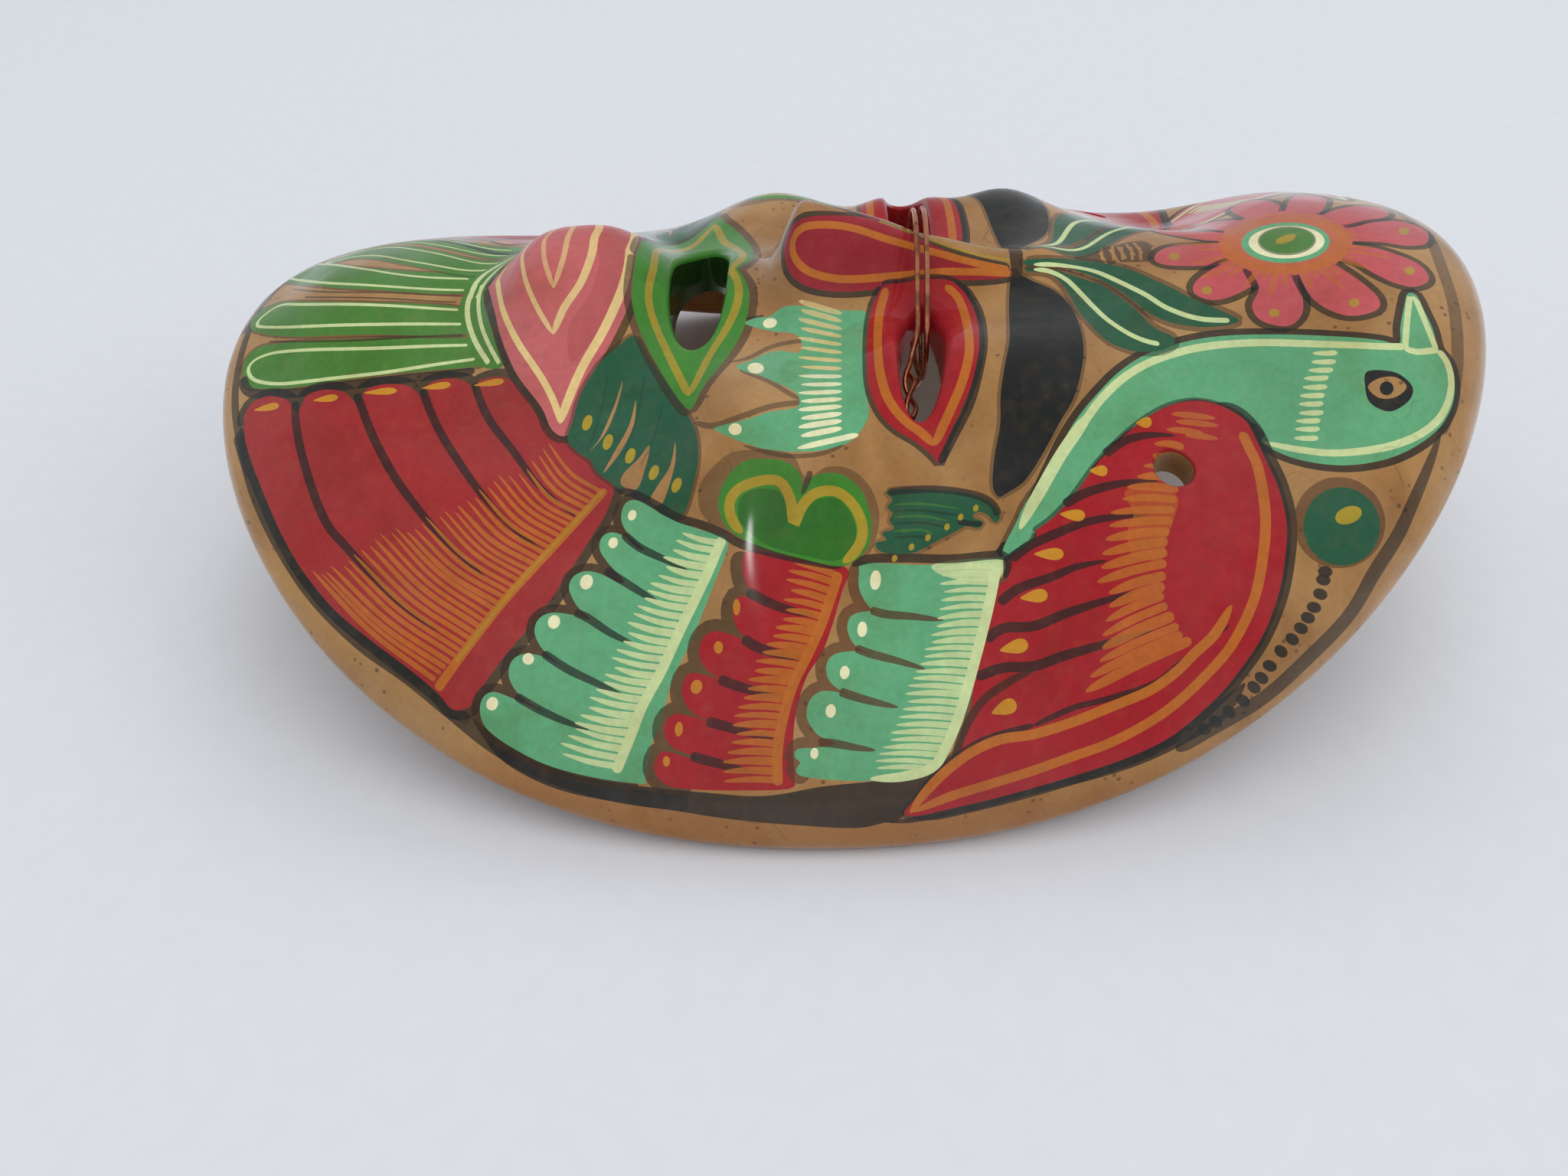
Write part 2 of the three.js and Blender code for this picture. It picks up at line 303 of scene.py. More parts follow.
class Net:
    """A fine net over one face of the clay, for finding places on that face."""

    def __init__(self, form: FaceForm, surface: Callable, rings: int = 150, spokes: int = 360) -> None:
        """Lay the net.

        Args:
            form: The clay form.
            surface: The method of the form that gives places over chart places.
            rings: Number of rings between the middle and the rim.
            spokes: Number of spokes around.
        """
        out = np.linspace(0, 1, rings + 1)[1:]
        way = np.arange(spokes) * TURN / spokes
        ring_out, ring_way = np.meshgrid(out, way, indexing="ij")
        chart = np.concatenate([[[1e-6, 0.0]], form.chart(ring_out, ring_way).reshape(-1, 2)])
        ring, spoke = np.meshgrid(np.arange(rings - 1), np.arange(spokes), indexing="ij")
        a = 1 + ring * spokes + spoke
        b = a + spokes
        ahead = 1 + ring * spokes + (spoke + 1) % spokes
        c = ahead + spokes
        first = 1 + np.arange(spokes)
        fan = np.stack([0 * first, first, 1 + np.arange(1, spokes + 1) % spokes], -1)
        faces = np.concatenate([
            fan,
            np.stack([a, b, c], -1).reshape(-1, 3),
            np.stack([a, c, ahead], -1).reshape(-1, 3),
        ])
        places = surface(chart)
        self.tree = BVHTree.FromPolygons(places.tolist(), faces.tolist())
        self.charts = chart[faces]
        self.corners = places[faces]

    def chart_at(self, face: int, place: Vector) -> Point:
        """Chart place of a place on one face of the net."""
        a, b, c = self.corners[face]
        p = np.array(place)
        ab, ac, ap = b - a, c - a, p - a
        dots = ab @ ab, ab @ ac, ac @ ac, ap @ ab, ap @ ac
        scale = dots[0] * dots[2] - dots[1] ** 2
        second = (dots[2] * dots[3] - dots[1] * dots[4]) / scale
        third = (dots[0] * dots[4] - dots[1] * dots[3]) / scale
        chart = self.charts[face]
        mixed = chart[0] + second * (chart[1] - chart[0]) + third * (chart[2] - chart[0])
        return float(mixed[0]), float(mixed[1])

    def hit(self, start: Vector, direction: Vector) -> Point | None:
        """Chart place where a straight line meets the net, or None."""
        place, _, face, _ = self.tree.ray_cast(start, direction)
        return None if place is None else self.chart_at(face, place)


class View(Enum):
    """Enlarged parts of the photograph in which the painting was read, by their upper left pixel."""

    BEARD = (280, 220)
    FEATURES = (800, 220)
    FOREHEAD = (1350, 220)
    JAW = (280, 600)
    CHEEK = (800, 600)
    TEMPLE = (1350, 600)

    def pixel(self, point: Point) -> Point:
        """Pixel of the photograph for a point read in the enlargement."""
        return self.value[0] + PIXEL_SHARE * point[0], self.value[1] + PIXEL_SHARE * point[1]


PIXEL_SHARE = 0.3954


class Side(Enum):
    """On which side of the middle line a motif is painted."""

    BOTH = (1, -1)
    NEAR = (1,)


@dataclass
class Shape:
    """One painted shape on the chart: its pieces, its paint and how well the paint covers."""

    pieces: list[np.ndarray]
    paint: Paint
    cover: float


def through(points: Sequence[Point], step: float, rounded: bool) -> np.ndarray:
    """Places along a line through points.

    Args:
        points: The points that the line goes through. Two equal points in a row make a corner.
        step: Largest distance between two places.
        rounded: Whether the line is a curve, or runs straight from point to point.

    Returns:
        The places, in the order of the points.
    """
    p = np.array(points, float)
    closed = np.array_equal(p[0], p[-1])
    first, last = (p[-2], p[1]) if closed else (2 * p[0] - p[1], 2 * p[-1] - p[-2])
    ends = np.concatenate([[first], p, [last]])
    places = [p[:1]]
    for before, start, end, after in zip(ends, ends[1:], ends[2:], ends[3:]):
        count = max(1, math.ceil(np.linalg.norm(end - start) / step))
        s = (np.arange(count) + 1)[:, None] / count
        if rounded:
            pull = start - before + end - start, end - start + after - end
            curve = (2 * s**3 - 3 * s**2 + 1) * start + (s**3 - 2 * s**2 + s) * pull[0] / 2
            places.append(curve + (3 * s**2 - 2 * s**3) * end + (s**3 - s**2) * pull[1] / 2)
        else:
            places.append(start + s * (end - start))
    return np.concatenate(places)


class Brush:
    """Paints shapes on the face, from points read in the enlarged parts of the photograph."""

    line_step: float = 12.0
    ribbon_step: float = 0.68
    piece_length: int = 18
    margin: float = 0.987

    def __init__(self, form: FaceForm, camera: PhotoCamera) -> None:
        """Take up the brush over the clay form, as the camera sees it."""
        self.form = form
        self.net = Net(form, form.front)
        self.start = camera.place()
        self.camera = camera
        self.shapes: list[Shape] = []
        self.hand = np.random.default_rng(7)
        self.far_shift = (0.0, 0.0)
        self.far_paints: dict[Paint, Paint] = {}

    def on_chart(self, view: View, points: np.ndarray) -> np.ndarray:
        """Chart places of points read in a view. Points beside the mask are left out."""
        found = (self.net.hit(self.start, self.camera.ray(view.pixel(point))) for point in points)
        return np.array([place for place in found if place is not None]).reshape(-1, 2)

    def add(self, pieces: list[np.ndarray], paint: Paint, cover: float, side: Side) -> None:
        """Keep one shape for each side that it is painted on, the far one with its own shift and paints."""
        for sign in side.value:
            flip = np.array([sign, 1.0])
            shift = np.array(self.far_shift) if sign < 0 else 0.0
            kept = [self.form.held_in(piece * flip + shift, self.margin) for piece in pieces]
            used = self.far_paints.get(paint, paint) if sign < 0 else paint
            self.shapes.append(Shape(kept, used, cover))

    def area(
        self,
        view: View,
        points: Sequence[Point],
        paint: Paint,
        cover: float = 1.0,
        side: Side = Side.BOTH,
        rounded: bool = True,
        middle: bool = False,
        edge: tuple[Paint, float, float] | None = None,
    ) -> None:
        """Fill an outline with paint.

        Args:
            view: The view in which the points were read.
            points: The outline. With middle it runs from the middle line back to it.
            paint: The paint.
            cover: How well it covers, from 0 to 1.
            side: The sides that are painted.
            rounded: Whether the outline is a curve.
            middle: Whether the far half is the near half's mirror image, joined to it.
            edge: Paint, width in millimetres and cover of a line around the shape, under it.
        """
        closed = list(points) if middle else [*points, points[0]]
        chart = self.on_chart(view, through(closed, self.line_step, rounded))
        if middle:
            chart[0, 0] = chart[-1, 0] = 0.0
            far = (chart * np.array([-1.0, 1.0]))[::-1]
            chart = np.concatenate([chart, far[1:-1]])
            side = Side.NEAR
        if edge:
            outline_paint, width, outline_cover = edge
            ring = np.concatenate([chart, chart[:1]])
            self.add(self.ribbon(ring, width, (0.3, 0.3)), outline_paint, outline_cover, side)
        self.add([chart], paint, cover, side)

    def line(
        self,
        view: View,
        points: Sequence[Point],
        width: float,
        paint: Paint,
        cover: float = 1.0,
        side: Side = Side.BOTH,
        ends: tuple[float, float] = (0.0, 0.0),
        rounded: bool = True,
        middle: bool = False,
    ) -> None:
        """Draw one stroke of the brush.

        Args:
            view: The view in which the points were read.
            points: The points that the stroke goes through.
            width: Its width in millimetres.
            paint: The paint.
            cover: How well it covers, from 0 to 1.
            side: The sides that are painted.
            ends: Lengths in millimetres over which its two ends run out to a point.
            rounded: Whether the stroke is a curve.
            middle: Whether it starts on the middle line and goes on as its own mirror image.
        """
        chart = self.on_chart(view, through(points, self.line_step, rounded))
        if middle:
            chart[0, 0] = 0.0
            chart = np.concatenate([(chart * np.array([-1.0, 1.0]))[:0:-1], chart])
            side, ends = Side.NEAR, (ends[1], ends[1])
        if len(chart) > 1:
            self.add(self.ribbon(chart, width, ends), paint, cover, side)

    def ribbon(self, chart: np.ndarray, width: float, ends: tuple[float, float]) -> list[np.ndarray]:
        """Outline pieces of a stroke along chart places, with its width and ends in millimetres."""
        places = self.form.front(chart)
        run = np.concatenate([[0], np.cumsum(np.linalg.norm(np.diff(places, axis=0), axis=-1))])
        ends = tuple(max(end, width / 2) for end in ends)
        total = max(run[-1], 1e-6)
        shrink = min(1.0, total / sum(ends))
        cap = 1 - np.cos(np.arange(6) * math.pi / 12)
        stops = np.unique(np.concatenate([
            np.linspace(0, total, max(2, round(total / self.ribbon_step))),
            cap * ends[0] * shrink,
            total - cap * ends[1] * shrink,
        ]).round(4))
        line = np.stack([np.interp(stops, run, chart[:, axis]) for axis in (0, 1)], -1)
        rise = [np.clip(part / (end * shrink), 0, 1) for part, end in ((stops, ends[0]), (total - stops, ends[1]))]
        half = width / 2 * np.sqrt(1 - (1 - rise[0]) ** 2) * np.sqrt(1 - (1 - rise[1]) ** 2)
        across, along = self.form.slopes(line, self.form.front)
        heading = np.gradient(self.form.front(line), axis=0)
        sideways = np.cross(np.cross(across, along), heading)
        sideways /= np.maximum(np.linalg.norm(sideways, axis=-1, keepdims=True), 1e-9)
        uu, uv, vv = (across * across).sum(-1), (across * along).sum(-1), (along * along).sum(-1)
        su, sv = (sideways * across).sum(-1), (sideways * along).sum(-1)
        scale = np.maximum(uu * vv - uv * uv, 1e-9)
        offset = np.stack([(vv * su - uv * sv) / scale, (uu * sv - uv * su) / scale], -1) * half[:, None]
        left, right = line + offset, line - offset
        pieces = []
        for start in range(0, len(line) - 1, self.piece_length):
            stop = min(start + self.piece_length + 1, len(line))
            pieces.append(np.concatenate([left[start:stop], right[start:stop][::-1]]))
        return pieces

    def dot(
        self,
        view: View,
        centre: Point,
        size: Point,
        paint: Paint,
        turned: float = 0.0,
        cover: float = 1.0,
        side: Side = Side.BOTH,
    ) -> None:
        """Set an oval dab of paint.

        Args:
            view: The view in which it was read.
            centre: Its middle.
            size: Its width and height in the view.
            paint: The paint.
            turned: How far it is turned in degrees, from across towards down.
            cover: How well it covers.
            side: The sides that are painted.
        """
        cos, sin = math.cos(math.radians(turned)), math.sin(math.radians(turned))
        outline = []
        for angle in (TURN * i / 10 for i in range(10)):
            x, y = size[0] / 2 * math.cos(angle), size[1] / 2 * math.sin(angle)
            outline.append((centre[0] + x * cos - y * sin, centre[1] + x * sin + y * cos))
        self.area(view, outline, paint, cover, side)

    def drop(self, view: View, centre: Point, size: Point, paint: Paint, turned: float = 0.0) -> None:
        """Set a drop shaped dab: an oval that runs out to a point on its left."""
        cos, sin = math.cos(math.radians(turned)), math.sin(math.radians(turned))
        outline = []
        for angle in (TURN * i / 12 for i in range(12)):
            x, y = size[0] / 2 * math.cos(angle), size[1] / 2 * math.sin(angle) * (0.75 + 0.45 * math.cos(angle))
            outline.append((centre[0] + x * cos - y * sin, centre[1] + x * sin + y * cos))
        self.area(view, outline, paint)

    def chart_area(self, outline: Sequence[Point], paint: Paint, edge: tuple[Paint, float, float]) -> None:
        """Fill an outline that is given on the chart, for what the photograph hardly shows."""
        chart = through([*outline, outline[0]], 0.8, True)
        outline_paint, width, outline_cover = edge
        self.add(self.ribbon(chart, width, (0.3, 0.3)), outline_paint, outline_cover, Side.NEAR)
        self.add([chart], paint, 1.0, Side.NEAR)

    def chart_line(self, points: Sequence[Point], width: float, paint: Paint) -> None:
        """Draw a stroke that is given on the chart."""
        self.add(self.ribbon(through(points, 0.8, True), width, (1.0, 1.0)), paint, 1.0, Side.NEAR)

    def comb(
        self,
        view: View,
        starts: Sequence[Point],
        ends: Sequence[Point],
        count: int,
        width: float,
        paint: Paint,
        cover: float = 1.0,
        bow: float = 0.0,
        tip: float = 2.0,
        wander: float = 5.0,
    ) -> None:
        """Draw a row of strokes, each from a place along one line to the like place along another.

        Args:
            view: The view in which the lines were read.
            starts: The line on which the strokes begin, with a pointed end.
            ends: The line on which they end.
            count: How many strokes there are.
            width: Width of a stroke in millimetres.
            paint: The paint.
            cover: How well it covers.
            bow: How far a stroke bends aside at its middle, in the view.
            tip: Length of the pointed end in millimetres.
            wander: How uneven the strokes begin, in the view.
        """
        first, last = through(starts, 4.0, True), through(ends, 4.0, True)
        for share in (np.arange(count) + 0.5) / count:
            start = first[round(share * (len(first) - 1))]
            end = last[round(share * (len(last) - 1))]
            heading = (end - start) / max(np.linalg.norm(end - start), 1e-6)
            start = start + heading * self.hand.uniform(-wander, wander)
            aside = np.array([-heading[1], heading[0]]) * bow
            middle = (start + end) / 2 + aside
            thick = width * self.hand.uniform(0.85, 1.15)
            self.line(view, [start, middle, end], thick, paint, cover, ends=(tip, 0.3))


class Painting:
    """The painting of the mask, laid down in the order in which the paints cover each other."""

    halo = (Paint.INK, 1.5, 0.62)
    thin_halo = (Paint.INK, 0.9, 0.6)

    def __init__(self, brush: Brush) -> None:
        """Begin the painting with a brush."""
        self.brush = brush

    def paint(self) -> list[Shape]:
        """All shapes of the painting, from the lowest to the uppermost."""
        self.border()
        self.beard()
        self.feathers()
        self.chin()
        self.jaw_frond()
        self.lips()
        self.mint_fingers()
        self.red_fingers()
        self.bird()
        self.wing()
        self.second_mint_fingers()
        self.tulip()
        self.apple()
        self.cheek_frond()
        self.nose()
        self.eye()
        self.brow()
        self.flower()
        self.leaves()
        self.ball_and_dashes()
        return self.brush.shapes

    def border(self) -> None:
        """The dark line inside the rim and the black wash beside the jaw."""
        brush = self.brush
        line = brush.line
        line(View.BEARD, [(190, 405), (150, 460), (105, 560), (75, 680), (68, 790), (88, 920), (118, 1020)],
             1.3, Paint.BLACK, 0.8)
        line(View.JAW, [(78, -90), (105, 0), (145, 130), (220, 285), (330, 450), (480, 600), (640, 715),
                        (780, 830), (930, 950), (1100, 1040), (1320, 1105), (1568, 1140)], 2.3, Paint.BLACK, 0.82)
        line(View.JAW, [(250, 330), (360, 480), (520, 625), (700, 765), (840, 870)], 1.2, Paint.BLACK, 0.45)
        brush.area(View.CHEEK, [(-445, 880), (-355, 950), (-215, 1015), (-65, 1055), (100, 1080), (300, 1100),
                                (500, 1112), (700, 1080), (870, 1062), (1000, 1035), (1085, 1000), (1060, 1060),
                                (985, 1150), (940, 1195), (900, 1200), (800, 1218), (600, 1208), (400, 1190),
                                (200, 1160), (0, 1130), (-165, 1095), (-295, 1040), (-385, 975)],
                   Paint.BLACK, 0.9)
        brush.area(View.TEMPLE, [(-480, 1195), (-300, 1168), (-150, 1130), (0, 1085), (150, 1045), (300, 990),
                                 (420, 930), (540, 850), (620, 790), (700, 740), (640, 850), (560, 905),
                                 (450, 965), (320, 1020), (150, 1070), (0, 1105), (-200, 1160), (-400, 1200)],
                   Paint.BLACK, 0.85)
        line(View.TEMPLE, [(470, 960), (600, 885), (760, 790), (900, 665), (1040, 520), (1130, 370), (1205, 250),
                           (1260, 130), (1310, 10), (1345, -90)], 2.3, Paint.BLACK, 0.78, ends=(2, 24))
        line(View.FOREHEAD, [(1345, 875), (1378, 780), (1398, 680), (1400, 560), (1385, 440), (1350, 330),
                             (1325, 262), (1300, 215)], 1.9, Paint.INK, 0.6)

    def beard(self) -> None:
        """Green stripes of the beard with pale loops, and the green band across them."""
        brush = self.brush
        view = View.BEARD
        low_stripe = [(95, 690), (98, 645), (128, 603), (200, 580), (500, 566), (840, 556), (872, 570), (885, 640),
                      (850, 652), (600, 676), (400, 705), (270, 724), (130, 728), (100, 715)]
        second_stripe = [(150, 543), (122, 530), (130, 490), (190, 452), (260, 440), (500, 448), (820, 458),
                         (822, 545), (500, 552), (300, 558), (200, 552)]
        middle_stripe = [(225, 375), (242, 340), (290, 314), (500, 326), (850, 352), (850, 408), (500, 404),
                         (350, 390), (250, 380)]
        far_stripe = [(-6.2, -45.6), (-3.8, -52), (-3.4, -60), (-6.5, -70), (-9.6, -76), (-10.9, -79.6), (-13, -80.8),
                      (-15.2, -79.2), (-14.8, -75), (-13, -69), (-11, -60), (-10.6, -52), (-11, -45.6)]
        farthest_stripe = [(-12.6, -45.4), (-12.2, -53), (-12.8, -61), (-15.2, -70), (-17.6, -78), (-19, -82.2), (-21.2, -83.6),
                           (-23.3, -81.8), (-23.2, -76.5), (-22.2, -69), (-20.8, -61), (-18.6, -52), (-17.8, -45.4)]
        far_loop = [(-7.2, -46.5), (-5.2, -53), (-4.9, -60), (-7.8, -69.5), (-10.4, -75.2), (-11.7, -78.4), (-13, -79.4),
                    (-14.2, -78.2), (-13.6, -74.6), (-11.8, -69), (-9.6, -60), (-9.3, -52), (-9.8, -46.5)]
        farthest_loop = [(-13.8, -46.5), (-13.6, -53), (-14.3, -61), (-16.6, -70), (-18.7, -77.6), (-19.8, -81), (-21.1, -82.2),
                         (-22.4, -81), (-22, -76), (-20.8, -69), (-19.3, -61), (-17.2, -52.5), (-16.6, -46.5)]
        brush.area(view, low_stripe, Paint.BEARD_GREEN, side=Side.NEAR, edge=self.thin_halo)
        for stripe in (second_stripe, middle_stripe):
            brush.area(view, stripe, Paint.BEARD_GREEN, side=Side.NEAR, edge=self.thin_halo)
        for stripe, loop in ((far_stripe, far_loop), (farthest_stripe, farthest_loop)):
            brush.chart_area(stripe, Paint.BEARD_GREEN, self.thin_halo)
            brush.chart_line(loop, 0.56, Paint.PALE)
        seams = (
            [(300, 425), (500, 432), (800, 440)],
            [(180, 572), (400, 574), (640, 560), (820, 546)],
            [(260, 400), (420, 412), (640, 414), (830, 420)],
        )
        for seam in seams:
            brush.line(view, seam, 0.36, Paint.INK, 0.75, side=Side.NEAR)
        jaw_shadow = [(92, 690), (104, 728), (140, 744), (270, 742), (400, 724), (600, 696), (860, 666)]
        brush.line(view, jaw_shadow, 1.5, Paint.BLACK, 0.85, ends=(1, 1))
        low_loop = [(835, 580), (500, 597), (250, 605), (170, 617), (125, 640), (112, 670), (135, 700), (205, 712),
                    (300, 706), (500, 682), (700, 650), (860, 625)]
        second_loop = [(805, 465), (500, 455), (290, 449), (220, 451), (170, 480), (142, 512), (185, 524), (500, 520),
                       (815, 512)]
        middle_loop = [(840, 363), (640, 350), (500, 332), (400, 320), (290, 319), (238, 352), (290, 371), (500, 388),
                       (825, 400)]
        for loop in (low_loop, second_loop, middle_loop):
            brush.line(view, loop, 0.56, Paint.PALE, side=Side.NEAR)
        collar_shadow = [(905, 385), (885, 420), (900, 480), (925, 560), (960, 655), (990, 660), (955, 560),
                         (930, 470), (925, 385)]
        collar = [(845, 395), (812, 440), (820, 510), (845, 580), (875, 648), (952, 650), (930, 570), (900, 480),
                  (890, 430), (905, 385)]
        brush.area(view, collar_shadow, Paint.BLACK, 0.9, middle=True)
        brush.area(view, collar, Paint.BEARD_GREEN, middle=True)
        brush.line(view, [(862, 385), (838, 440), (838, 500), (862, 570), (905, 640)], 0.75, Paint.PALE)
        brush.line(view, [(885, 385), (872, 440), (880, 510), (905, 575), (940, 640)], 0.62, Paint.PALE)

    def feathers(self) -> None:
        """Red feathers from the beard down to the jaw, with their orange comb."""
        brush = self.brush
        line = brush.line
        ink = Paint.INK
        brush.far_shift = (-5.0, 0.0)
        red = [(98, 850), (102, 810), (128, 772), (182, 752), (240, 765), (266, 800), (285, 790), (305, 752),
               (362, 733), (428, 740), (468, 775), (486, 770), (500, 732), (562, 712), (640, 716), (686, 752),
               (700, 745), (704, 712), (762, 690), (830, 700), (862, 738), (866, 735), (868, 702), (920, 685),
               (972, 692), (1012, 730), (1060, 800), (1110, 870), (1180, 915), (1240, 960), (1310, 1030),
               (1320, 1062), (1290, 1141), (1240, 1221), (1100, 1441), (960, 1611), (880, 1721), (840, 1781),
               (785, 1786), (740, 1736), (640, 1651), (520, 1561), (400, 1461), (300, 1341), (228, 1221),
               (170, 1091), (130, 990), (105, 910)]
        brush.area(View.BEARD, red, Paint.FEATHER_RED, edge=(Paint.BLACK, 2.6, 0.85))
        dividers = (
            [(266, 770), (270, 850), (290, 950), (330, 1080), (375, 1180), (430, 1245), (500, 1321), (620, 1441),
             (740, 1531)],
            [(470, 745), (490, 800), (530, 900), (600, 1030), (690, 1150), (770, 1236), (850, 1311), (912, 1371)],
            [(688, 725), (705, 780), (745, 870), (800, 960), (870, 1060), (960, 1160), (1050, 1236), (1100, 1266)],
            [(858, 705), (880, 770), (915, 840), (985, 930), (1060, 1030), (1130, 1095), (1200, 1150)],
        )
        for divider in dividers:
            line(View.BEARD, divider, 1.15, Paint.BLACK, 0.85, ends=(0.4, 24))
        line(View.BEARD, [(1180, 905), (1240, 948), (1320, 1035)], 0.47, ink, 0.8)
        for x, y, size, turned in ((172, 790, 86, -12), (368, 762, 84, -8), (548, 737, 112, -6),
                                   (732, 716, 98, -8), (906, 706, 102, -8)):
            brush.drop(View.BEARD, (x, y), (size, 27), Paint.AMBER, turned)
        starts = [(305, 362), (372, 374), (410, 350), (445, 335), (480, 300), (515, 270), (590, 236), (640, 240),
                  (680, 214), (755, 180), (795, 168), (835, 138), (905, 88), (940, 60), (985, 45), (1040, 0),
                  (1085, -35), (1115, -62)]
        ends = [(722, 738), (840, 600), (950, 465), (1070, 330), (1190, 200), (1290, 98)]
        brush.comb(View.JAW, starts, ends, 34, 0.6, Paint.ORANGE, 0.78, bow=22, tip=9, wander=14)
        line(View.JAW, [(1292, 96), (1180, 215), (1060, 350), (950, 475), (860, 590), (790, 685), (735, 762)],
             1.18, Paint.ORANGE, 0.9)
        line(View.JAW, [(1285, 100), (1100, 300), (950, 475), (800, 668)], 0.52, Paint.OCHRE, 0.5)
        brush.far_shift = (0.0, 0.0)

    def chin(self) -> None:
        """The pink lozenge of the chin with its nested lines."""
        brush = self.brush
        brush.area(View.BEARD, [(905, 392), (925, 470), (948, 560), (1000, 680), (1080, 790), (1112, 860),
                                (1150, 886), (1185, 860), (1215, 740), (1300, 600), (1350, 500), (1385, 400),
                                (1402, 330), (1412, 290)], Paint.CHIN_PINK, middle=True,
                   edge=(Paint.INK, 2.2, 0.8))
        brush.area(View.BEARD, [(1262, 232), (1270, 320), (1240, 420), (1170, 520), (1180, 640), (1250, 570),
                                (1310, 470), (1345, 370), (1355, 262)], Paint.CHIN_SHADE, 0.3, middle=True)
        lines = (
            ([(936, 372), (942, 420), (958, 480), (1005, 575), (1080, 690), (1125, 780), (1143, 845)], 0.94, 1.0),
            ([(1372, 268), (1362, 340), (1335, 430), (1285, 540), (1215, 660), (1168, 770), (1143, 845)], 1.27, 0.95),
            ([(1015, 300), (1028, 370), (1065, 455), (1118, 545)], 0.71, 0.8),
            ([(1255, 232), (1245, 290), (1210, 380), (1155, 460), (1118, 545)], 1.13, 0.85),
            ([(1088, 250), (1092, 310), (1120, 396)], 0.7, 0.55),
            ([(1168, 232), (1150, 310), (1120, 396)], 0.8, 0.6),
        )
        for points, width, cover in lines:
            brush.line(View.BEARD, points, width, Paint.STRAW, cover, ends=(0.5, 3), middle=True)

    def jaw_frond(self) -> None:
        """The dark green frond between the chin and the apple."""
        brush = self.brush
        brush.area(View.BEARD, [(1392, 560), (1340, 588), (1270, 650), (1212, 745), (1185, 835), (1168, 900),
                                (1215, 948), (1240, 962), (1262, 1000), (1300, 1030), (1345, 1062), (1372, 1048),
                                (1400, 1085), (1445, 1112), (1478, 1150), (1510, 1165), (1550, 1150),
                                (1580, 1060), (1598, 960), (1590, 870), (1555, 800), (1500, 720), (1440, 640)],
                   Paint.LEAF_GREEN, edge=self.thin_halo)
        wedges = (
            [(1350, 705), (1320, 790), (1275, 890), (1240, 935), (1290, 880), (1330, 790)],
            [(1392, 770), (1370, 850), (1320, 940), (1285, 1005), (1340, 940), (1385, 850)],
            [(1438, 915), (1425, 985), (1395, 1060), (1345, 1045), (1350, 1010), (1400, 960)],
            [(1522, 905), (1520, 985), (1480, 1110), (1440, 1098), (1465, 1050), (1505, 985)],
        )
        for wedge in wedges:
            brush.area(View.BEARD, wedge, Paint.BARE)
        for x, y in ((1232, 843), (1300, 905), (1374, 950), (1452, 1006), (1527, 1050)):
            brush.dot(View.BEARD, (x, y), (30, 54), Paint.OCHRE, 22)
        for x, y, low in ((1300, 690, 250), (1420, 700, 260), (1480, 780, 200)):
            brush.line(View.BEARD, [(x, y), (x - 25, y + low / 2), (x - 70, y + low)], 0.38, Paint.BLACK, 0.25)

    def lips(self) -> None:
        """The green lozenge of the mouth with its ochre line."""
        brush = self.brush
        brush.area(View.FEATURES, [(75, 292), (62, 400), (72, 480), (112, 590), (180, 710), (242, 790), (266, 786),
                                   (302, 720), (380, 620), (432, 530), (452, 440), (446, 385), (412, 326)],
                   Paint.APPLE_GREEN, middle=True, edge=(Paint.INK, 2.4, 0.72))
        brush.area(View.FEATURES, [(215, 330), (188, 420), (205, 520), (258, 582), (325, 520), (366, 420),
                                   (372, 330)], Paint.SHADE_GREEN, 0.85, middle=True)
        brush.area(View.FEATURES, [(228, 345), (205, 430), (222, 520), (262, 560), (315, 510), (352, 420),
                                   (360, 330)], Paint.HOLE_GREEN, 0.9, middle=True)
        brush.line(View.FEATURES, [(137, 318), (120, 390), (124, 460), (152, 545), (200, 650), (252, 752)], 1.13,
                   Paint.OCHRE, 0.85, ends=(0.5, 3), middle=True)
        brush.line(View.FEATURES, [(388, 322), (415, 380), (412, 445), (380, 520), (325, 610), (285, 690),
                                   (252, 752)], 1.18, Paint.OCHRE, 0.85, ends=(0.5, 3), middle=True)

    def tulip(self) -> None:
        """The mint tulip beside the nose with its pale bars."""
        brush = self.brush
        ink = Paint.INK
        wedges = (
            [(390, 638), (450, 622), (520, 588), (600, 572), (660, 572)],
            [(420, 662), (520, 700), (600, 748), (670, 768)],
            [(270, 836), (330, 848), (430, 815), (520, 785), (600, 772), (660, 770)],
            [(440, 498), (520, 515), (600, 540), (650, 560)],
        )
        for wedge in wedges:
            brush.line(View.FEATURES, wedge, 0.95, ink, 0.6, Side.NEAR, ends=(3, 3))
        brush.area(View.FEATURES, [(438, 512), (470, 495), (520, 490), (562, 462), (620, 458), (760, 472),
                                   (842, 484), (836, 600), (834, 720), (845, 780), (842, 830), (800, 890),
                                   (740, 922), (640, 936), (520, 930), (430, 905), (372, 880), (336, 858),
                                   (380, 842), (450, 825), (520, 802), (560, 797), (612, 785), (615, 750),
                                   (590, 725), (540, 702), (490, 680), (440, 668), (408, 650), (450, 634),
                                   (500, 610), (550, 599), (615, 605), (625, 575), (600, 548), (540, 540),
                                   (490, 530)],
                   Paint.MINT, side=Side.NEAR)
        brush.line(View.FEATURES, [(430, 915), (560, 948), (680, 945), (765, 915)], 0.61, ink, 0.6, Side.NEAR,
                   ends=(4, 3))
        brush.line(View.FEATURES, [(440, 495), (500, 488)], 0.42, Paint.BLACK, 0.7, Side.NEAR)
        for bar in range(16):
            y = 442 + 29.5 * bar
            tilt = 42 - 4.6 * bar
            left = 622 if bar % 2 else 614
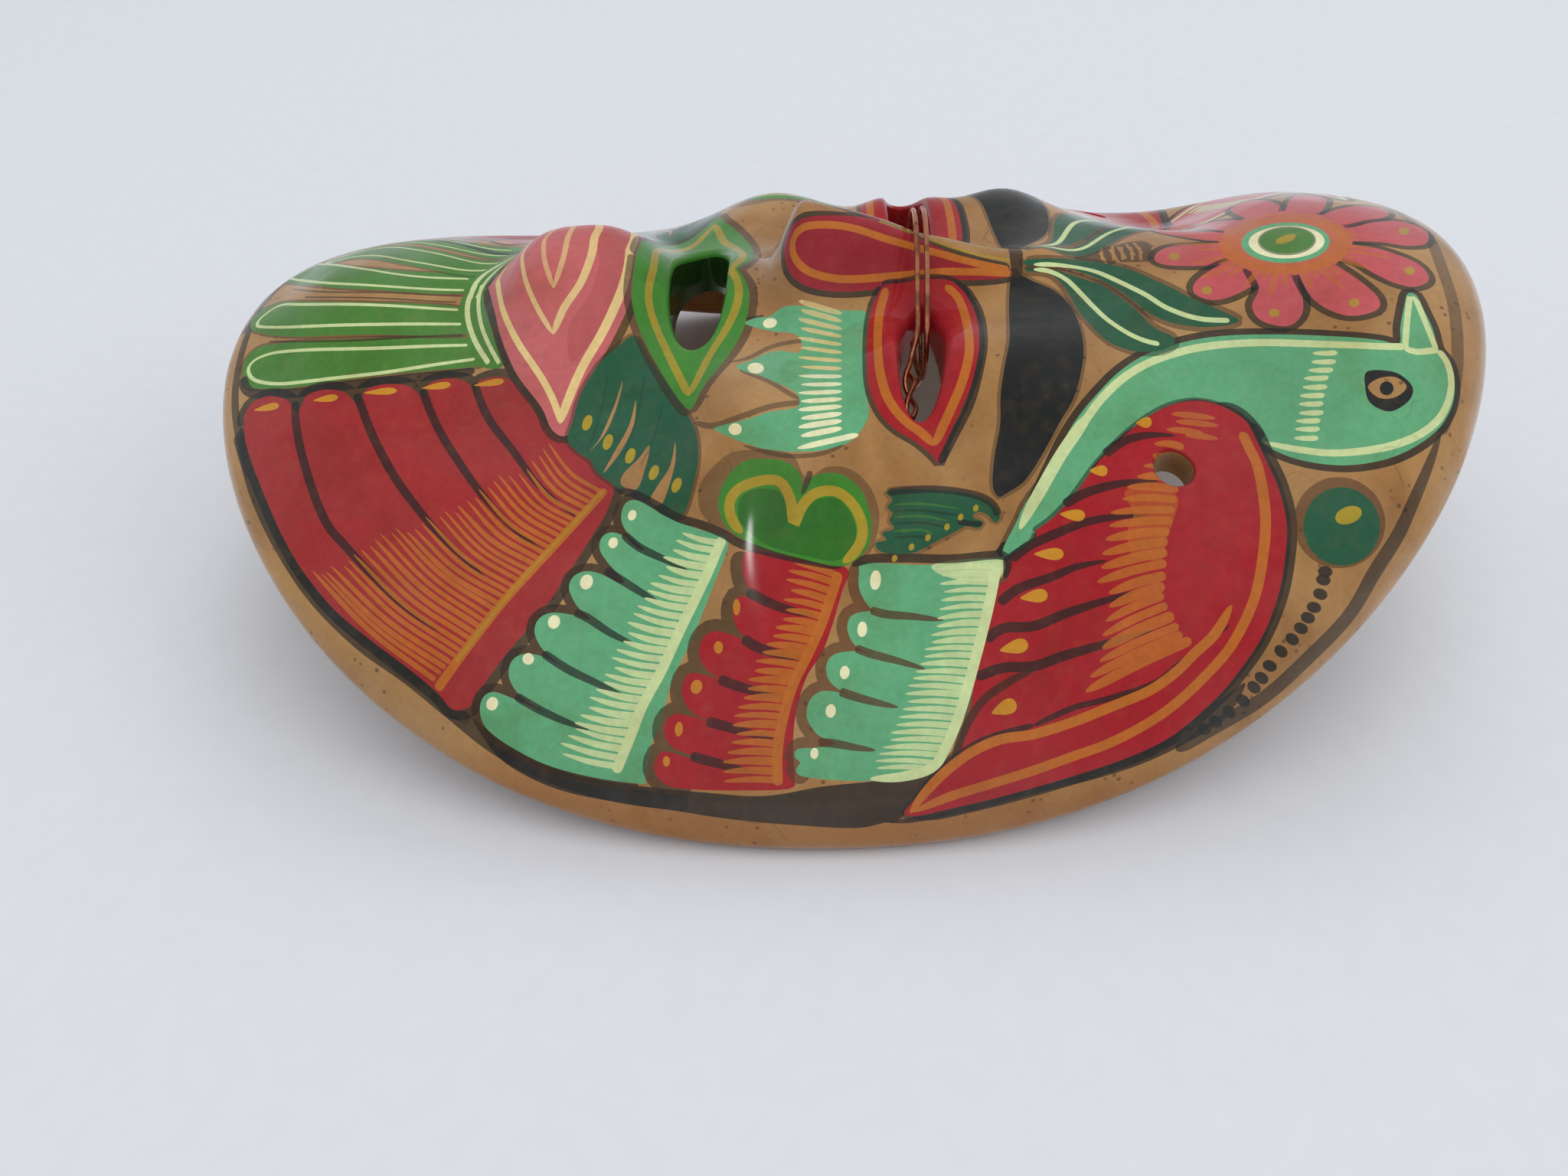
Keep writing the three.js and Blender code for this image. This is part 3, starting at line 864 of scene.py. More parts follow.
            cover = 0.62 + 0.022 * bar
            paint = Paint.STRAW if bar < 8 else Paint.CREAM
            brush.line(View.FEATURES, [(left, y), (left + 75, y + tilt * 0.55), (758, y + tilt)], 0.84,
                       paint, cover, Side.NEAR, ends=(2.4, 1.6))
        brush.line(View.FEATURES, [(610, 925), (700, 905), (812, 880)], 0.8, Paint.CREAM, 0.9, Side.NEAR, ends=(3, 1))
        for centre, size, turned in (((520, 512), (48, 32), -8), ((473, 655), (56, 36), 0), ((405, 860), (44, 40), 0)):
            brush.dot(View.FEATURES, centre, size, Paint.CREAM, turned, side=Side.NEAR)

    def apple(self) -> None:
        """The green apple on the cheek."""
        brush = self.brush
        brush.far_shift = (9.0, 0.0)
        brush.area(View.CHEEK, [(640, 60), (600, -10), (540, -30), (470, -32), (390, -20), (330, 30), (290, 90),
                                (285, 160), (320, 215), (400, 262), (430, 280), (560, 318), (700, 345),
                                (830, 320), (872, 250), (880, 170), (850, 90), (790, 35), (710, 25)],
                   Paint.INK, 0.5)
        brush.area(View.CHEEK, [(630, 112), (645, 72), (690, 47), (760, 52), (820, 100), (848, 165), (856, 230),
                                (840, 290), (792, 334), (742, 348), (640, 330), (520, 302), (430, 268),
                                (372, 222), (350, 160), (360, 100), (395, 42), (440, 6), (500, -2), (570, 8),
                                (620, 50)], Paint.APPLE_GREEN)
        brush.area(View.CHEEK, [(440, 235), (415, 190), (425, 130), (480, 100), (545, 105), (580, 150), (600, 215),
                                (630, 190), (660, 140), (730, 125), (785, 170), (805, 240), (780, 300),
                                (735, 330), (640, 318), (520, 290)], Paint.SHADE_GREEN, 0.62)
        brush.line(View.CHEEK, [(428, 250), (398, 210), (386, 160), (405, 112), (455, 82), (520, 68), (560, 80),
                                (588, 135), (600, 213), (622, 160), (668, 112), (735, 104), (788, 140),
                                (822, 200), (824, 255), (800, 300), (762, 336)], 1.32, Paint.OCHRE,
                   ends=(2, 2))
        brush.line(View.CHEEK, [(655, 38), (642, 75), (625, 115)], 0.8, Paint.INK, 0.75, ends=(0.5, 2))
        brush.far_shift = (0.0, 0.0)

    def cheek_frond(self) -> None:
        """The dark green frond beside the apple."""
        brush = self.brush
        brush.area(View.CHEEK, [(905, 105), (1000, 98), (1110, 103), (1200, 118), (1258, 150), (1280, 190),
                                (1262, 208), (1240, 182), (1205, 172), (1190, 190), (1225, 208), (1205, 228),
                                (1170, 218), (1130, 240), (1085, 262), (1010, 300), (960, 308), (888, 300),
                                (868, 272), (905, 262), (890, 240), (930, 226), (915, 200), (926, 176),
                                (908, 158), (925, 132)], Paint.LEAF_GREEN,
                   edge=(Paint.INK, 0.9, 0.4))
        brush.line(View.CHEEK, [(910, 108), (1050, 98), (1180, 112), (1250, 140), (1275, 185)], 1.0, Paint.BLACK,
                   0.75)
        for low, far in ((150, 1150), (190, 1110), (235, 1060)):
            brush.line(View.CHEEK, [(925, low), (1020, low - 4), (far, low + 12)], 0.38, Paint.BEARD_GREEN, 0.5,
                       ends=(4, 4))
            brush.line(View.CHEEK, [(925, low + 20), (1020, low + 18), (far, low + 34)], 0.38, Paint.BLACK, 0.45,
                       ends=(4, 2))
        brush.line(View.CHEEK, [(1140, 205), (1185, 212), (1222, 212)], 0.75, Paint.BLACK, 0.8)
        for x, y in ((932, 322), (988, 286), (1042, 257), (1105, 222), (1150, 190), (1200, 160)):
            brush.dot(View.CHEEK, (x, y), (18, 24), Paint.OCHRE, 20)

    def nose(self) -> None:
        """A crimson drop on each flank of the nose."""
        brush = self.brush
        drop = [(1312, 330), (1200, 303), (1080, 262), (1000, 225), (920, 192), (850, 170), (750, 160),
                (650, 163), (592, 192), (568, 250), (574, 320), (600, 366), (650, 397), (720, 410), (800, 410),
                (880, 400), (950, 385), (1020, 372), (1100, 366), (1200, 365), (1312, 352)]
        brush.area(View.FEATURES, drop, Paint.CRIMSON, edge=(Paint.BLACK, 1.8, 0.85))
        brush.line(View.FEATURES, [(1312, 300), (1180, 275), (1060, 240), (960, 200), (880, 172)], 0.47,
                   Paint.OCHRE, 0.6)
        brush.line(View.FEATURES, [(1318, 342), (1200, 337), (1100, 340), (1000, 352), (900, 362), (800, 370),
                                   (720, 366), (650, 345), (608, 308), (594, 258), (610, 212), (650, 192),
                                   (720, 190), (800, 203), (900, 236), (1000, 262), (1100, 285), (1200, 308),
                                   (1310, 330)], 1.08, Paint.ORANGE, 0.95)
        brush.line(View.FEATURES, [(1000, 312), (1120, 318), (1200, 325)], 0.66, Paint.CRIMSON, 0.6, ends=(2, 4))

    def eye(self) -> None:
        """The red lozenge around the eye slot with its orange line."""
        brush = self.brush
        brush.area(View.FEATURES, [(892, 395), (852, 480), (840, 600), (848, 720), (880, 805), (930, 862),
                                   (1000, 905), (1055, 950), (1082, 975), (1102, 905), (1150, 805), (1190, 705),
                                   (1212, 600), (1206, 500), (1172, 420), (1125, 372), (1040, 366), (950, 382)],
                   Paint.RED, edge=(Paint.BLACK, 1.3, 0.8))
        far_lid = [(1130, 372), (1172, 400), (1212, 470), (1226, 560), (1216, 650), (1182, 780), (1132, 880),
                   (1095, 950), (1080, 975)]
        brush.line(View.FEATURES, far_lid, 1.1, Paint.BLACK, 0.85, ends=(3, 1))
        # Painted shade: a thin crimson wash that deepens the red around the slot, where the hollow falls towards it.
        brush.area(View.FEATURES, [(960, 440), (938, 560), (945, 680), (985, 780), (1035, 832), (1085, 790),
                                   (1120, 700), (1125, 600), (1105, 470), (1060, 400)], Paint.CRIMSON, 0.4)
        brush.line(View.FEATURES, [(905, 398), (882, 480), (876, 580), (885, 680), (912, 765), (962, 832),
                                   (1022, 878), (1064, 918)], 1.18, Paint.ORANGE, 0.92, ends=(1, 2))
        brush.line(View.FEATURES, [(1100, 385), (1145, 430), (1172, 515), (1178, 610), (1155, 710), (1118, 800),
                                   (1085, 870), (1064, 918)], 1.18, Paint.ORANGE, 0.92, ends=(1, 2))

    def brow(self) -> None:
        """The black brow and the knot between the brows."""
        brush = self.brush
        brush.area(View.FEATURES, [(1318, 352), (1310, 450), (1312, 560), (1296, 650), (1282, 750), (1280, 850),
                                   (1262, 950), (1256, 1045), (1276, 1084), (1305, 1070), (1352, 1040),
                                   (1385, 1000), (1425, 935), (1480, 832), (1522, 758), (1546, 680),
                                   (1556, 600), (1542, 520), (1510, 450), (1460, 400), (1390, 368),
                                   (1345, 346)], Paint.BLACK, edge=(Paint.BLACK, 0.9, 0.5))
        brush.area(View.FEATURES, [(1312, 285), (1318, 330), (1330, 355), (1352, 350), (1356, 280)], Paint.INK, 0.9,
                   middle=True)

    def flower(self) -> None:
        """The pink flower of the forehead."""
        brush = self.brush
        view = View.FOREHEAD
        middle = np.array([0.9, 56.5])
        tips = (((-8.5, 41.5), 2.0), ((-15.5, 47.5), 2.4), ((-20.0, 57.5), 2.8), ((-18.0, 68.5), 2.8), ((-9.5, 78.5), 2.8))
        near_petals = (
            [(1000, 205), (1058, 197), (1122, 181), (1207, 176), (1282, 197), (1305, 224), (1292, 250), (1228, 256),
             (1143, 245), (1000, 240)],
            [(631, 250), (546, 247), (450, 254), (405, 279), (402, 304), (440, 320), (546, 320), (650, 309)],
            [(670, 300), (600, 325), (545, 365), (525, 400), (540, 425), (590, 438), (660, 420), (740, 370),
             (740, 320)],
            [(715, 310), (745, 390), (722, 450), (745, 495), (810, 516), (860, 508), (890, 470), (890, 420),
             (875, 375), (860, 310)],
            [(870, 310), (905, 400), (960, 450), (1030, 478), (1090, 478), (1140, 460), (1142, 430), (1110, 395),
             (1040, 345), (950, 300)],
            [(960, 285), (1060, 310), (1120, 345), (1190, 378), (1250, 392), (1295, 380), (1305, 355), (1270, 315),
             (1200, 285), (1110, 262), (980, 255)],
        )
        edge = (Paint.BLACK, 1.9, 0.8)
        for tip, half in tips:
            run = np.array(tip) - middle
            side = np.array([-run[1], run[0]]) / np.linalg.norm(run) * half
            left = [middle + 0.25 * run - 0.6 * side, middle + 0.6 * run - side, middle + 0.88 * run - 0.8 * side]
            right = [middle + 0.88 * run + 0.8 * side, middle + 0.6 * run + side, middle + 0.25 * run + 0.6 * side]
            brush.chart_area([*left, tip, *right], Paint.PETAL_PINK, edge)
        for petal in near_petals:
            brush.area(view, petal, Paint.PETAL_PINK, side=Side.NEAR, edge=edge)
        brush.dot(view, (832, 246), (440, 210), Paint.PETAL_PINK, 0, 1.0, side=Side.NEAR)
        brush.dot(view, (832, 246), (430, 200), Paint.ORANGE, 0, 0.62, side=Side.NEAR)
        for number in range(44):
            turn = TURN * number / 44
            cos, sin = math.cos(turn), math.sin(turn)
            reach = 1.0 + (0.04 if sin < 0 else 0.16) * (number * 7 % 5)
            start = 832 + 165 * cos, 246 + 78 * sin
            end = 832 + 225 * cos * reach, 246 + (72 if sin < 0 else 108) * sin * reach
            brush.line(view, [start, end], 0.95, Paint.ORANGE, 0.55, side=Side.NEAR, ends=(1, 4))
        dabs = ((465, 288), (572, 405), (796, 473), (1060, 438), (1242, 338), (1223, 208))
        for dab in dabs:
            brush.dot(view, dab, (36, 28), Paint.OCHRE, 0, 0.8, side=Side.NEAR)
        rings = (
            ((832, 246), (292, 134), Paint.MINT, 1.0),
            ((835, 245), (250, 108), Paint.CREAM, 1.0),
            ((836, 241), (192, 96), Paint.BLACK, 0.7),
            ((836, 240), (180, 86), Paint.BEARD_GREEN, 1.0),
        )
        for centre, size, paint, cover in rings:
            brush.dot(view, centre, size, paint, 0, cover, side=Side.NEAR)
        brush.dot(view, (832, 236), (72, 26), Paint.OCHRE, -18, side=Side.NEAR)

    def leaves(self) -> None:
        """The dark green leaves above the brows and the small ladder between them."""
        brush = self.brush
        view = View.FOREHEAD
        ladder = [(120, 300), (180, 275), (230, 258), (385, 262), (385, 305), (250, 312)]
        upper = [(-25, 300), (60, 298), (145, 304), (255, 320), (325, 340), (390, 370), (455, 400), (505, 427),
                 (575, 455), (640, 481), (678, 503), (640, 520), (575, 528), (515, 526), (450, 514), (395, 491),
                 (355, 465), (295, 415), (225, 372), (160, 345), (75, 322), (-25, 315)]
        lower = [(-25, 325), (60, 332), (125, 352), (180, 372), (225, 388), (295, 437), (325, 462), (355, 490),
                 (385, 520), (415, 540), (455, 557), (467, 575), (445, 595), (400, 607), (335, 607), (295, 597),
                 (255, 580), (215, 550), (175, 505), (145, 465), (125, 425), (100, 385), (50, 345), (-25, 335)]
        upper_vein = [(0, 315), (60, 317), (125, 325), (185, 337), (235, 355), (325, 400), (375, 427), (425, 460),
                      (475, 482), (525, 497), (575, 504), (647, 504)]
        lower_vein = [(0, 330), (50, 337), (100, 360), (135, 390), (195, 455), (235, 495), (275, 525), (325, 555),
                      (375, 575), (415, 583)]
        brush.area(view, ladder, Paint.INK, 0.75, middle=True)
        for x in (224, 262, 292, 324, 352):
            brush.line(view, [(x - 2, 256), (x + 3, 304)], 0.42, Paint.BARE)
        for leaf in (lower, upper):
            brush.area(view, leaf, Paint.LEAF_GREEN, edge=(Paint.INK, 1.5, 0.6))
        for vein in (upper_vein, lower_vein):
            brush.line(view, vein, 0.78, Paint.PALE, 0.95, ends=(2, 0.5))

    def bird(self) -> None:
        """The mint bird with its head on the forehead and its body along the temple, on the far side pink."""
        brush = self.brush
        view = View.FOREHEAD
        brush.far_paints = {Paint.MINT: Paint.PETAL_PINK}
        body = [(-60, 1240), (0, 1110), (55, 990), (100, 895), (148, 815), (210, 740), (288, 668), (382, 612),
                (497, 577), (620, 556), (760, 546), (900, 545), (1050, 553), (1150, 566), (1208, 578),
                (1212, 520), (1225, 450), (1236, 414), (1264, 420), (1292, 475), (1318, 530), (1338, 598),
                (1372, 640), (1390, 700), (1385, 775), (1350, 845), (1290, 900), (1200, 948), (1100, 974),
                (1000, 982), (900, 972), (820, 948), (752, 905), (742, 860), (700, 822), (640, 785),
                (540, 762), (450, 782), (380, 812), (300, 868), (230, 938), (180, 1000), (130, 1075),
                (70, 1140), (0, 1205), (-60, 1245), (-95, 1281), (-100, 1260)]
        brush.area(view, body, Paint.MINT, edge=(Paint.BLACK, 1.9, 0.88))
        brush.line(view, [(700, 842), (726, 872), (748, 900)], 1.97, Paint.BLACK, 0.9)
        brush.area(View.CHEEK, [(1505, -5), (1440, 50), (1370, 135), (1330, 215), (1290, 298), (1302, 322),
                                (1380, 280), (1400, 240), (1460, 190), (1568, 105), (1568, -30)], Paint.MINT,
                   edge=(Paint.BLACK, 1.2, 0.6))
        brush.area(view, [(-40, 1175), (60, 1020), (150, 880), (225, 790), (300, 720), (420, 650), (420, 800),
                          (300, 868), (180, 1000), (90, 1120), (-40, 1235)], Paint.MINT)
        brush.line(View.CHEEK, [(1581, -161), (1541, -106), (1481, -16), (1421, 89), (1371, 179), (1345, 232)], 1.5,
                   Paint.PALE, ends=(4, 6))
        brush.line(view, [(170, 828), (225, 755), (300, 690), (390, 640), (500, 604), (620, 584), (760, 573),
                          (900, 574), (1050, 580), (1150, 586), (1225, 588)], 1.08, Paint.PALE)
        brush.line(view, [(1228, 590), (1232, 520), (1242, 425), (1262, 432), (1290, 500), (1315, 560),
                          (1330, 600)], 0.8, Paint.PALE, rounded=False)
        brush.line(view, [(1225, 592), (1265, 606), (1335, 600)], 0.94, Paint.PALE)
        brush.line(view, [(1338, 602), (1366, 642), (1380, 700), (1370, 770), (1335, 832), (1270, 882),
                          (1180, 916), (1080, 934), (980, 942), (900, 936), (830, 924), (756, 906)], 0.99,
                   Paint.PALE, ends=(0.5, 5))
        bars = ((965, 606), (960, 636), (950, 664), (935, 691), (931, 721), (922, 749), (918, 777), (918, 807),
                (908, 834), (905, 862), (901, 893))
        for x, y in bars:
            brush.line(view, [(x - 42, y), (x, y + 1), (x + 40, y)], 0.82, Paint.PALE, ends=(2.2, 0.6))
        brush.area(view, [(1100, 672), (1165, 668), (1215, 684), (1252, 724), (1242, 765), (1192, 800),
                          (1150, 798), (1108, 770), (1095, 722)], Paint.BLACK)
        brush.area(view, [(1104, 722), (1140, 694), (1195, 690), (1232, 722), (1195, 756), (1140, 758)], Paint.BARE)
        brush.dot(view, (1166, 727), (46, 46), Paint.BLACK, -60)
        brush.far_paints = {}

    def wing(self) -> None:
        """The red wing of the bird."""
        brush = self.brush
        view = View.TEMPLE
        red = [(0, 240), (60, 196), (130, 122), (192, 35), (240, -25), (300, -85), (370, -138), (450, -178),
               (540, -194), (620, -178), (690, -138), (722, -92), (762, 0), (805, 95), (832, 190), (836, 270),
               (820, 400), (790, 505), (740, 612), (662, 722), (600, 792), (500, 882), (420, 936), (300, 990),
               (150, 1040), (0, 1085), (-150, 1125), (-300, 1160), (-385, 1178), (-428, 1168), (-380, 1110),
               (-300, 1012), (-250, 960), (-222, 880), (-200, 770), (-192, 620), (-120, 430), (-90, 400),
               (-80, 330), (-10, 282), (10, 240)]
        outer = [(600, -182), (660, -158), (722, -92), (762, 0), (805, 95), (832, 190), (836, 270), (820, 400),
                 (790, 505), (740, 612), (662, 722), (600, 792), (500, 882), (420, 936), (300, 990), (150, 1040),
                 (0, 1085), (-150, 1125), (-300, 1160), (-400, 1180)]
        brush.line(view, outer, 2.5, Paint.BLACK, 0.85, ends=(4, 4))
        brush.area(view, red, Paint.RED, edge=(Paint.BLACK, 1.0, 0.7))
        quills = (
            [(235, -22), (300, -68), (380, -85), (470, -80)],
            [(100, 150), (160, 115), (240, 88), (320, 72), (415, 68)],
            [(-75, 335), (-20, 290), (60, 252), (160, 212), (260, 192), (385, 184)],
            [(-115, 480), (-50, 432), (60, 392), (140, 358), (245, 335)],
            [(-160, 600), (-100, 562), (0, 556), (110, 512), (230, 470), (350, 432)],
            [(-190, 720), (-100, 690), (0, 686), (100, 652), (220, 616), (400, 560)],
        )
        for quill in quills:
            brush.line(view, quill, 1.25, Paint.BLACK, 0.85, ends=(0.6, 17))
        brush.line(view, [(-265, 1000), (-232, 900), (-170, 800), (-80, 735), (0, 700)], 1.03, Paint.INK, 0.8,
                   ends=(2, 5))
        for centre, size, turned in (((215, 34), (60, 38), 0), ((365, -126), (52, 36), 0), ((128, 184), (84, 40), 5),
                                     ((50, 315), (98, 42), 0), ((0, 458), (92, 46), -8), ((-66, 624), (96, 48), -12),
                                     ((-98, 822), (88, 52), -22)):
            brush.drop(view, centre, (size[0], size[1] * 1.15), Paint.AMBER, turned)
        starts = [(430, -70), (395, -30), (360, 10), (330, 50), (285, 105), (270, 180), (250, 250), (240, 330),
                  (225, 410), (238, 470), (235, 530), (222, 600), (210, 660), (190, 725), (180, 785)]
        ends = [(500, -60), (490, 0), (485, 60), (475, 120), (462, 190), (445, 260), (440, 330), (436, 400),
                (430, 440), (442, 480), (468, 520), (485, 560), (492, 575), (515, 590), (535, 605)]
        brush.comb(view, starts, ends, 20, 1.2, Paint.ORANGE, 0.72, bow=-6, tip=4, wander=18)
        brush.area(view, [(300, 110), (340, 90), (440, 100), (478, 130), (462, 200), (440, 260), (420, 330),
                          (330, 320), (310, 240), (330, 180)], Paint.ORANGE, 0.42)
        for x, y, far in ((455, -150, 600), (470, -125, 610), (440, -100, 560), (500, -80, 610)):
            brush.line(view, [(x, y), ((x + far) / 2, y + 6), (far, y + 14)], 1.03, Paint.ORANGE, 0.62, ends=(3, 3))
        brush.line(view, [(0, 880), (130, 822), (250, 790), (400, 738), (500, 660), (580, 600), (650, 545)], 0.75,
                   Paint.BLACK, 0.85, ends=(3, 8))
        brush.line(view, [(-345, 1040), (-250, 975), (-150, 920), (0, 878)], 0.75, Paint.BLACK, 0.85, ends=(4, 1))
        brush.line(view, [(655, 480), (600, 575), (530, 642), (470, 702), (380, 765), (250, 820), (130, 868),
                          (0, 908), (-110, 925), (-210, 970), (-300, 1040), (-370, 1115), (-408, 1170)], 1.27,
                   Paint.ORANGE, 0.92, ends=(4, 5))
        brush.line(view, [(688, -90), (708, -40), (735, 20), (755, 110), (766, 210), (758, 320), (738, 430),
                          (705, 520), (650, 620), (580, 702), (480, 798), (380, 870), (250, 938), (120, 985),
                          (0, 1028), (-140, 1072), (-270, 1112), (-400, 1165)], 1.27, Paint.ORANGE, 0.88,
                   ends=(1, 6))

    def ball_and_dashes(self) -> None:
        """The green ball at the temple and the row of black dashes."""
        brush = self.brush
        view = View.TEMPLE
        brush.dot(view, (1010, 210), (304, 300), Paint.BROWN, 0, 0.7)
        brush.dot(view, (1018, 222), (254, 258), Paint.LEAF_GREEN)
        brush.dot(view, (1040, 185), (92, 56), Paint.OCHRE, -20)
        dashes = ((963, 371, 8), (957, 398, 15), (947, 445, 20), (926, 489, 15), (906, 523, 20), (883, 558, 25),
                  (854, 594, 35), (817, 634, 40), (780, 682, 25), (753, 722, 35), (728, 753, 40), (692, 797, 35),
                  (645, 834, 40), (601, 866, 35), (563, 890, 35))
        for x, y, turned in dashes:
            brush.dot(view, (x, y), (50, 37), Paint.BLACK, turned, 0.92)

    def mint_fingers(self) -> None:
        """The first row of mint fingers with its pale comb."""
        brush = self.brush
        view = View.JAW
        tips = [(1425, 148), (1380, 134), (1352, 152), (1344, 200), (1370, 250), (1420, 298), (1395, 292), (1352, 252),
                (1312, 238), (1280, 252), (1272, 292), (1300, 340), (1350, 396), (1340, 410), (1272, 375),
                (1220, 368), (1182, 390), (1172, 430), (1200, 488), (1240, 530), (1180, 514), (1112, 508),
                (1070, 530), (1058, 572), (1080, 622), (1130, 668), (1180, 700), (1085, 652), (1022, 644),
                (982, 668), (973, 718), (1000, 770), (1050, 810), (1090, 835), (980, 788), (922, 769),
                (886, 790), (878, 840), (902, 892), (980, 950), (1100, 1010), (1250, 1050), (1400, 1071)]
        back = [(1425, 1060), (1440, 950), (1468, 885), (1515, 722), (1575, 600), (1645, 430), (1695, 302),
                (1686, 262), (1640, 250), (1575, 228), (1485, 190)]
        brush.line(view, tips, 2.2, Paint.INK, 0.88, ends=(1, 1))
        brush.area(view, tips + back, Paint.MINT)
        gaps = (
            [(1350, 245), (1405, 292), (1490, 335), (1568, 374)],
            [(1290, 362), (1335, 392), (1410, 440), (1492, 490)],
            [(1190, 505), (1235, 526), (1310, 575), (1400, 618)],
            [(1085, 640), (1165, 692), (1270, 742), (1370, 790)],
            [(995, 782), (1075, 828), (1160, 866), (1240, 893)],
        )
        for gap in gaps:
            brush.line(view, gap, 1.1, Paint.BLACK, 0.85, ends=(0.5, 12))
        starts = [(1540, 232), (1505, 300), (1455, 400), (1400, 470), (1360, 590), (1310, 680), (1250, 770),
                  (1210, 860), (1175, 900), (1135, 985)]
        ends = [(1672, 268), (1620, 390), (1560, 505), (1490, 660), (1425, 790), (1380, 900), (1335, 1030)]
        brush.comb(view, starts, ends, 28, 0.86, Paint.PALE, 0.88, bow=6, tip=8, wander=14)
        brush.line(view, [(1680, 264), (1625, 390), (1540, 560), (1475, 700), (1415, 810), (1370, 925),
                          (1325, 1035)], 1.27, Paint.PALE)
        for centre, size in (((1380, 184), (28, 36)), ((1317, 273), (32, 38)), ((1229, 404), (42, 52)),
                             ((1122, 538), (40, 46)), ((1037, 660), (38, 40)), ((918, 808), (38, 46))):
            brush.dot(view, centre, size, Paint.CREAM, 20)

    def red_fingers(self) -> None:
        """The row of red fingers with its orange comb."""
        brush = self.brush
        view = View.CHEEK
        tips = [(440, 312), (428, 350), (440, 412), (480, 452), (540, 485), (470, 462), (420, 456), (398, 490),
                (406, 550), (445, 595), (490, 625), (420, 590), (342, 567), (300, 588), (286, 640), (310, 692),
                (370, 730), (425, 752), (340, 720), (262, 704), (236, 728), (230, 780), (260, 832), (325, 868),
                (395, 888), (300, 860), (212, 839), (176, 868), (172, 912), (200, 952), (270, 980), (350, 1005),
                (250, 984), (172, 964), (146, 985), (140, 1032), (180, 1076), (260, 1090)]
        back = [(420, 1094), (585, 1088), (602, 1050), (596, 970), (604, 850), (640, 722), (700, 622), (756, 440),
                (772, 352), (600, 325), (480, 305)]
        brush.line(view, tips, 3.0, Paint.INK, 0.76, ends=(1, 1))
        brush.area(view, tips + back, Paint.RED)
        gaps = (
            [(445, 440), (528, 480), (600, 502), (680, 518)],
            [(430, 590), (478, 620), (555, 645), (630, 660)],
            [(350, 724), (412, 748), (490, 770), (560, 786)],
            [(310, 864), (380, 884), (455, 905), (530, 922)],
            [(258, 980), (335, 1001), (410, 1022), (480, 1038)],
        )
        for gap in gaps:
            brush.line(view, gap, 1.3, Paint.BLACK, 0.8, ends=(0.5, 12))
        starts = [(600, 326), (585, 385), (572, 450), (548, 530), (515, 600), (482, 670), (440, 760), (408, 850),
                  (400, 905), (372, 985), (362, 1080)]
        ends = [(745, 362), (722, 440), (692, 530), (655, 620), (600, 740), (562, 850), (545, 960), (545, 1075)]
        brush.comb(view, starts, ends, 25, 0.95, Paint.ORANGE, 0.78, bow=-4, tip=6, wander=14)
        brush.line(view, [(748, 368), (722, 450), (690, 545), (648, 640), (598, 742), (565, 850), (546, 960),
                          (546, 1078)], 1.22, Paint.ORANGE, 0.85)
        for centre, size, turned in (((410, 490), (24, 54), 0), ((350, 620), (30, 42), 0), ((277, 750), (38, 48), 15),
                                     ((219, 890), (26, 50), 5), ((178, 997), (24, 36), 0)):
            brush.dot(view, centre, size, Paint.AMBER, turned, 0.75)

    def second_mint_fingers(self) -> None:
        """The second row of mint fingers, the last before the wing, and the dark line above the rows."""
        brush = self.brush
        view = View.CHEEK
        tips = [(840, 336), (815, 368), (818, 430), (855, 488), (905, 508), (850, 496), (790, 512), (776, 560),
                (800, 612), (850, 640), (800, 632), (732, 645), (706, 682), (716, 732), (760, 770), (800, 785),
                (745, 770), (688, 768), (650, 800), (643, 858), (680, 912), (735, 938), (680, 952), (610, 958),
                (603, 985), (620, 1002), (606, 1030), (650, 1052)]
        back = [(850, 1062), (1050, 1032), (1080, 1000), (1115, 955), (1150, 870), (1196, 700), (1240, 520),
                (1284, 340), (1280, 325), (1060, 345)]
        brush.line(view, tips, 2.7, Paint.BROWN, 0.72, ends=(1, 1))
        brush.area(view, tips + back, Paint.MINT)
        gaps = (
            [(852, 492), (905, 506), (990, 514), (1095, 530)],
            [(802, 622), (850, 640), (940, 664), (1035, 692)],
            [(750, 768), (800, 785), (870, 804), (945, 820)],
            [(680, 935), (735, 940), (800, 952), (870, 962)],
        )
        for gap in gaps:
            brush.line(view, gap, 1.1, Paint.BROWN, 0.85, ends=(0.5, 12))
        starts = [(1065, 350), (1088, 420), (1060, 560), (1030, 640), (985, 740), (958, 830), (920, 920),
                  (880, 985), (860, 1030)]
        ends = [(1268, 345), (1240, 480), (1205, 640), (1165, 780), (1130, 880), (1080, 985), (1050, 1030)]
        brush.comb(view, starts, ends, 27, 0.8, Paint.PALE, 0.82, bow=-5, tip=8, wander=10)
        brush.area(view, [(1060, 345), (1280, 330), (1268, 400), (1120, 392)], Paint.PALE, 0.75)
        brush.line(view, [(1272, 338), (1242, 490), (1196, 670), (1150, 830), (1104, 945), (1056, 1018),
                          (960, 1048), (850, 1056)], 1.27, Paint.PALE, ends=(0.5, 5))
        for centre, size in (((869, 392), (36, 66)), ((825, 558), (32, 54)), ((767, 705), (32, 46)),
                             ((721, 832), (34, 46)), ((667, 972), (28, 38))):
            brush.dot(view, centre, size, Paint.CREAM, 5)
        brush.line(view, [(15, 100), (80, 118), (150, 158), (220, 200), (300, 225), (370, 255), (430, 288),
                          (560, 318), (680, 338), (760, 348)], 1.1, Paint.BLACK, 0.85, ends=(2, 2))
        brush.line(view, [(790, 345), (850, 322), (980, 322), (1120, 328), (1280, 318), (1305, 345), (1296, 400)],
                   1.15, Paint.BLACK, 0.85, ends=(2, 3))


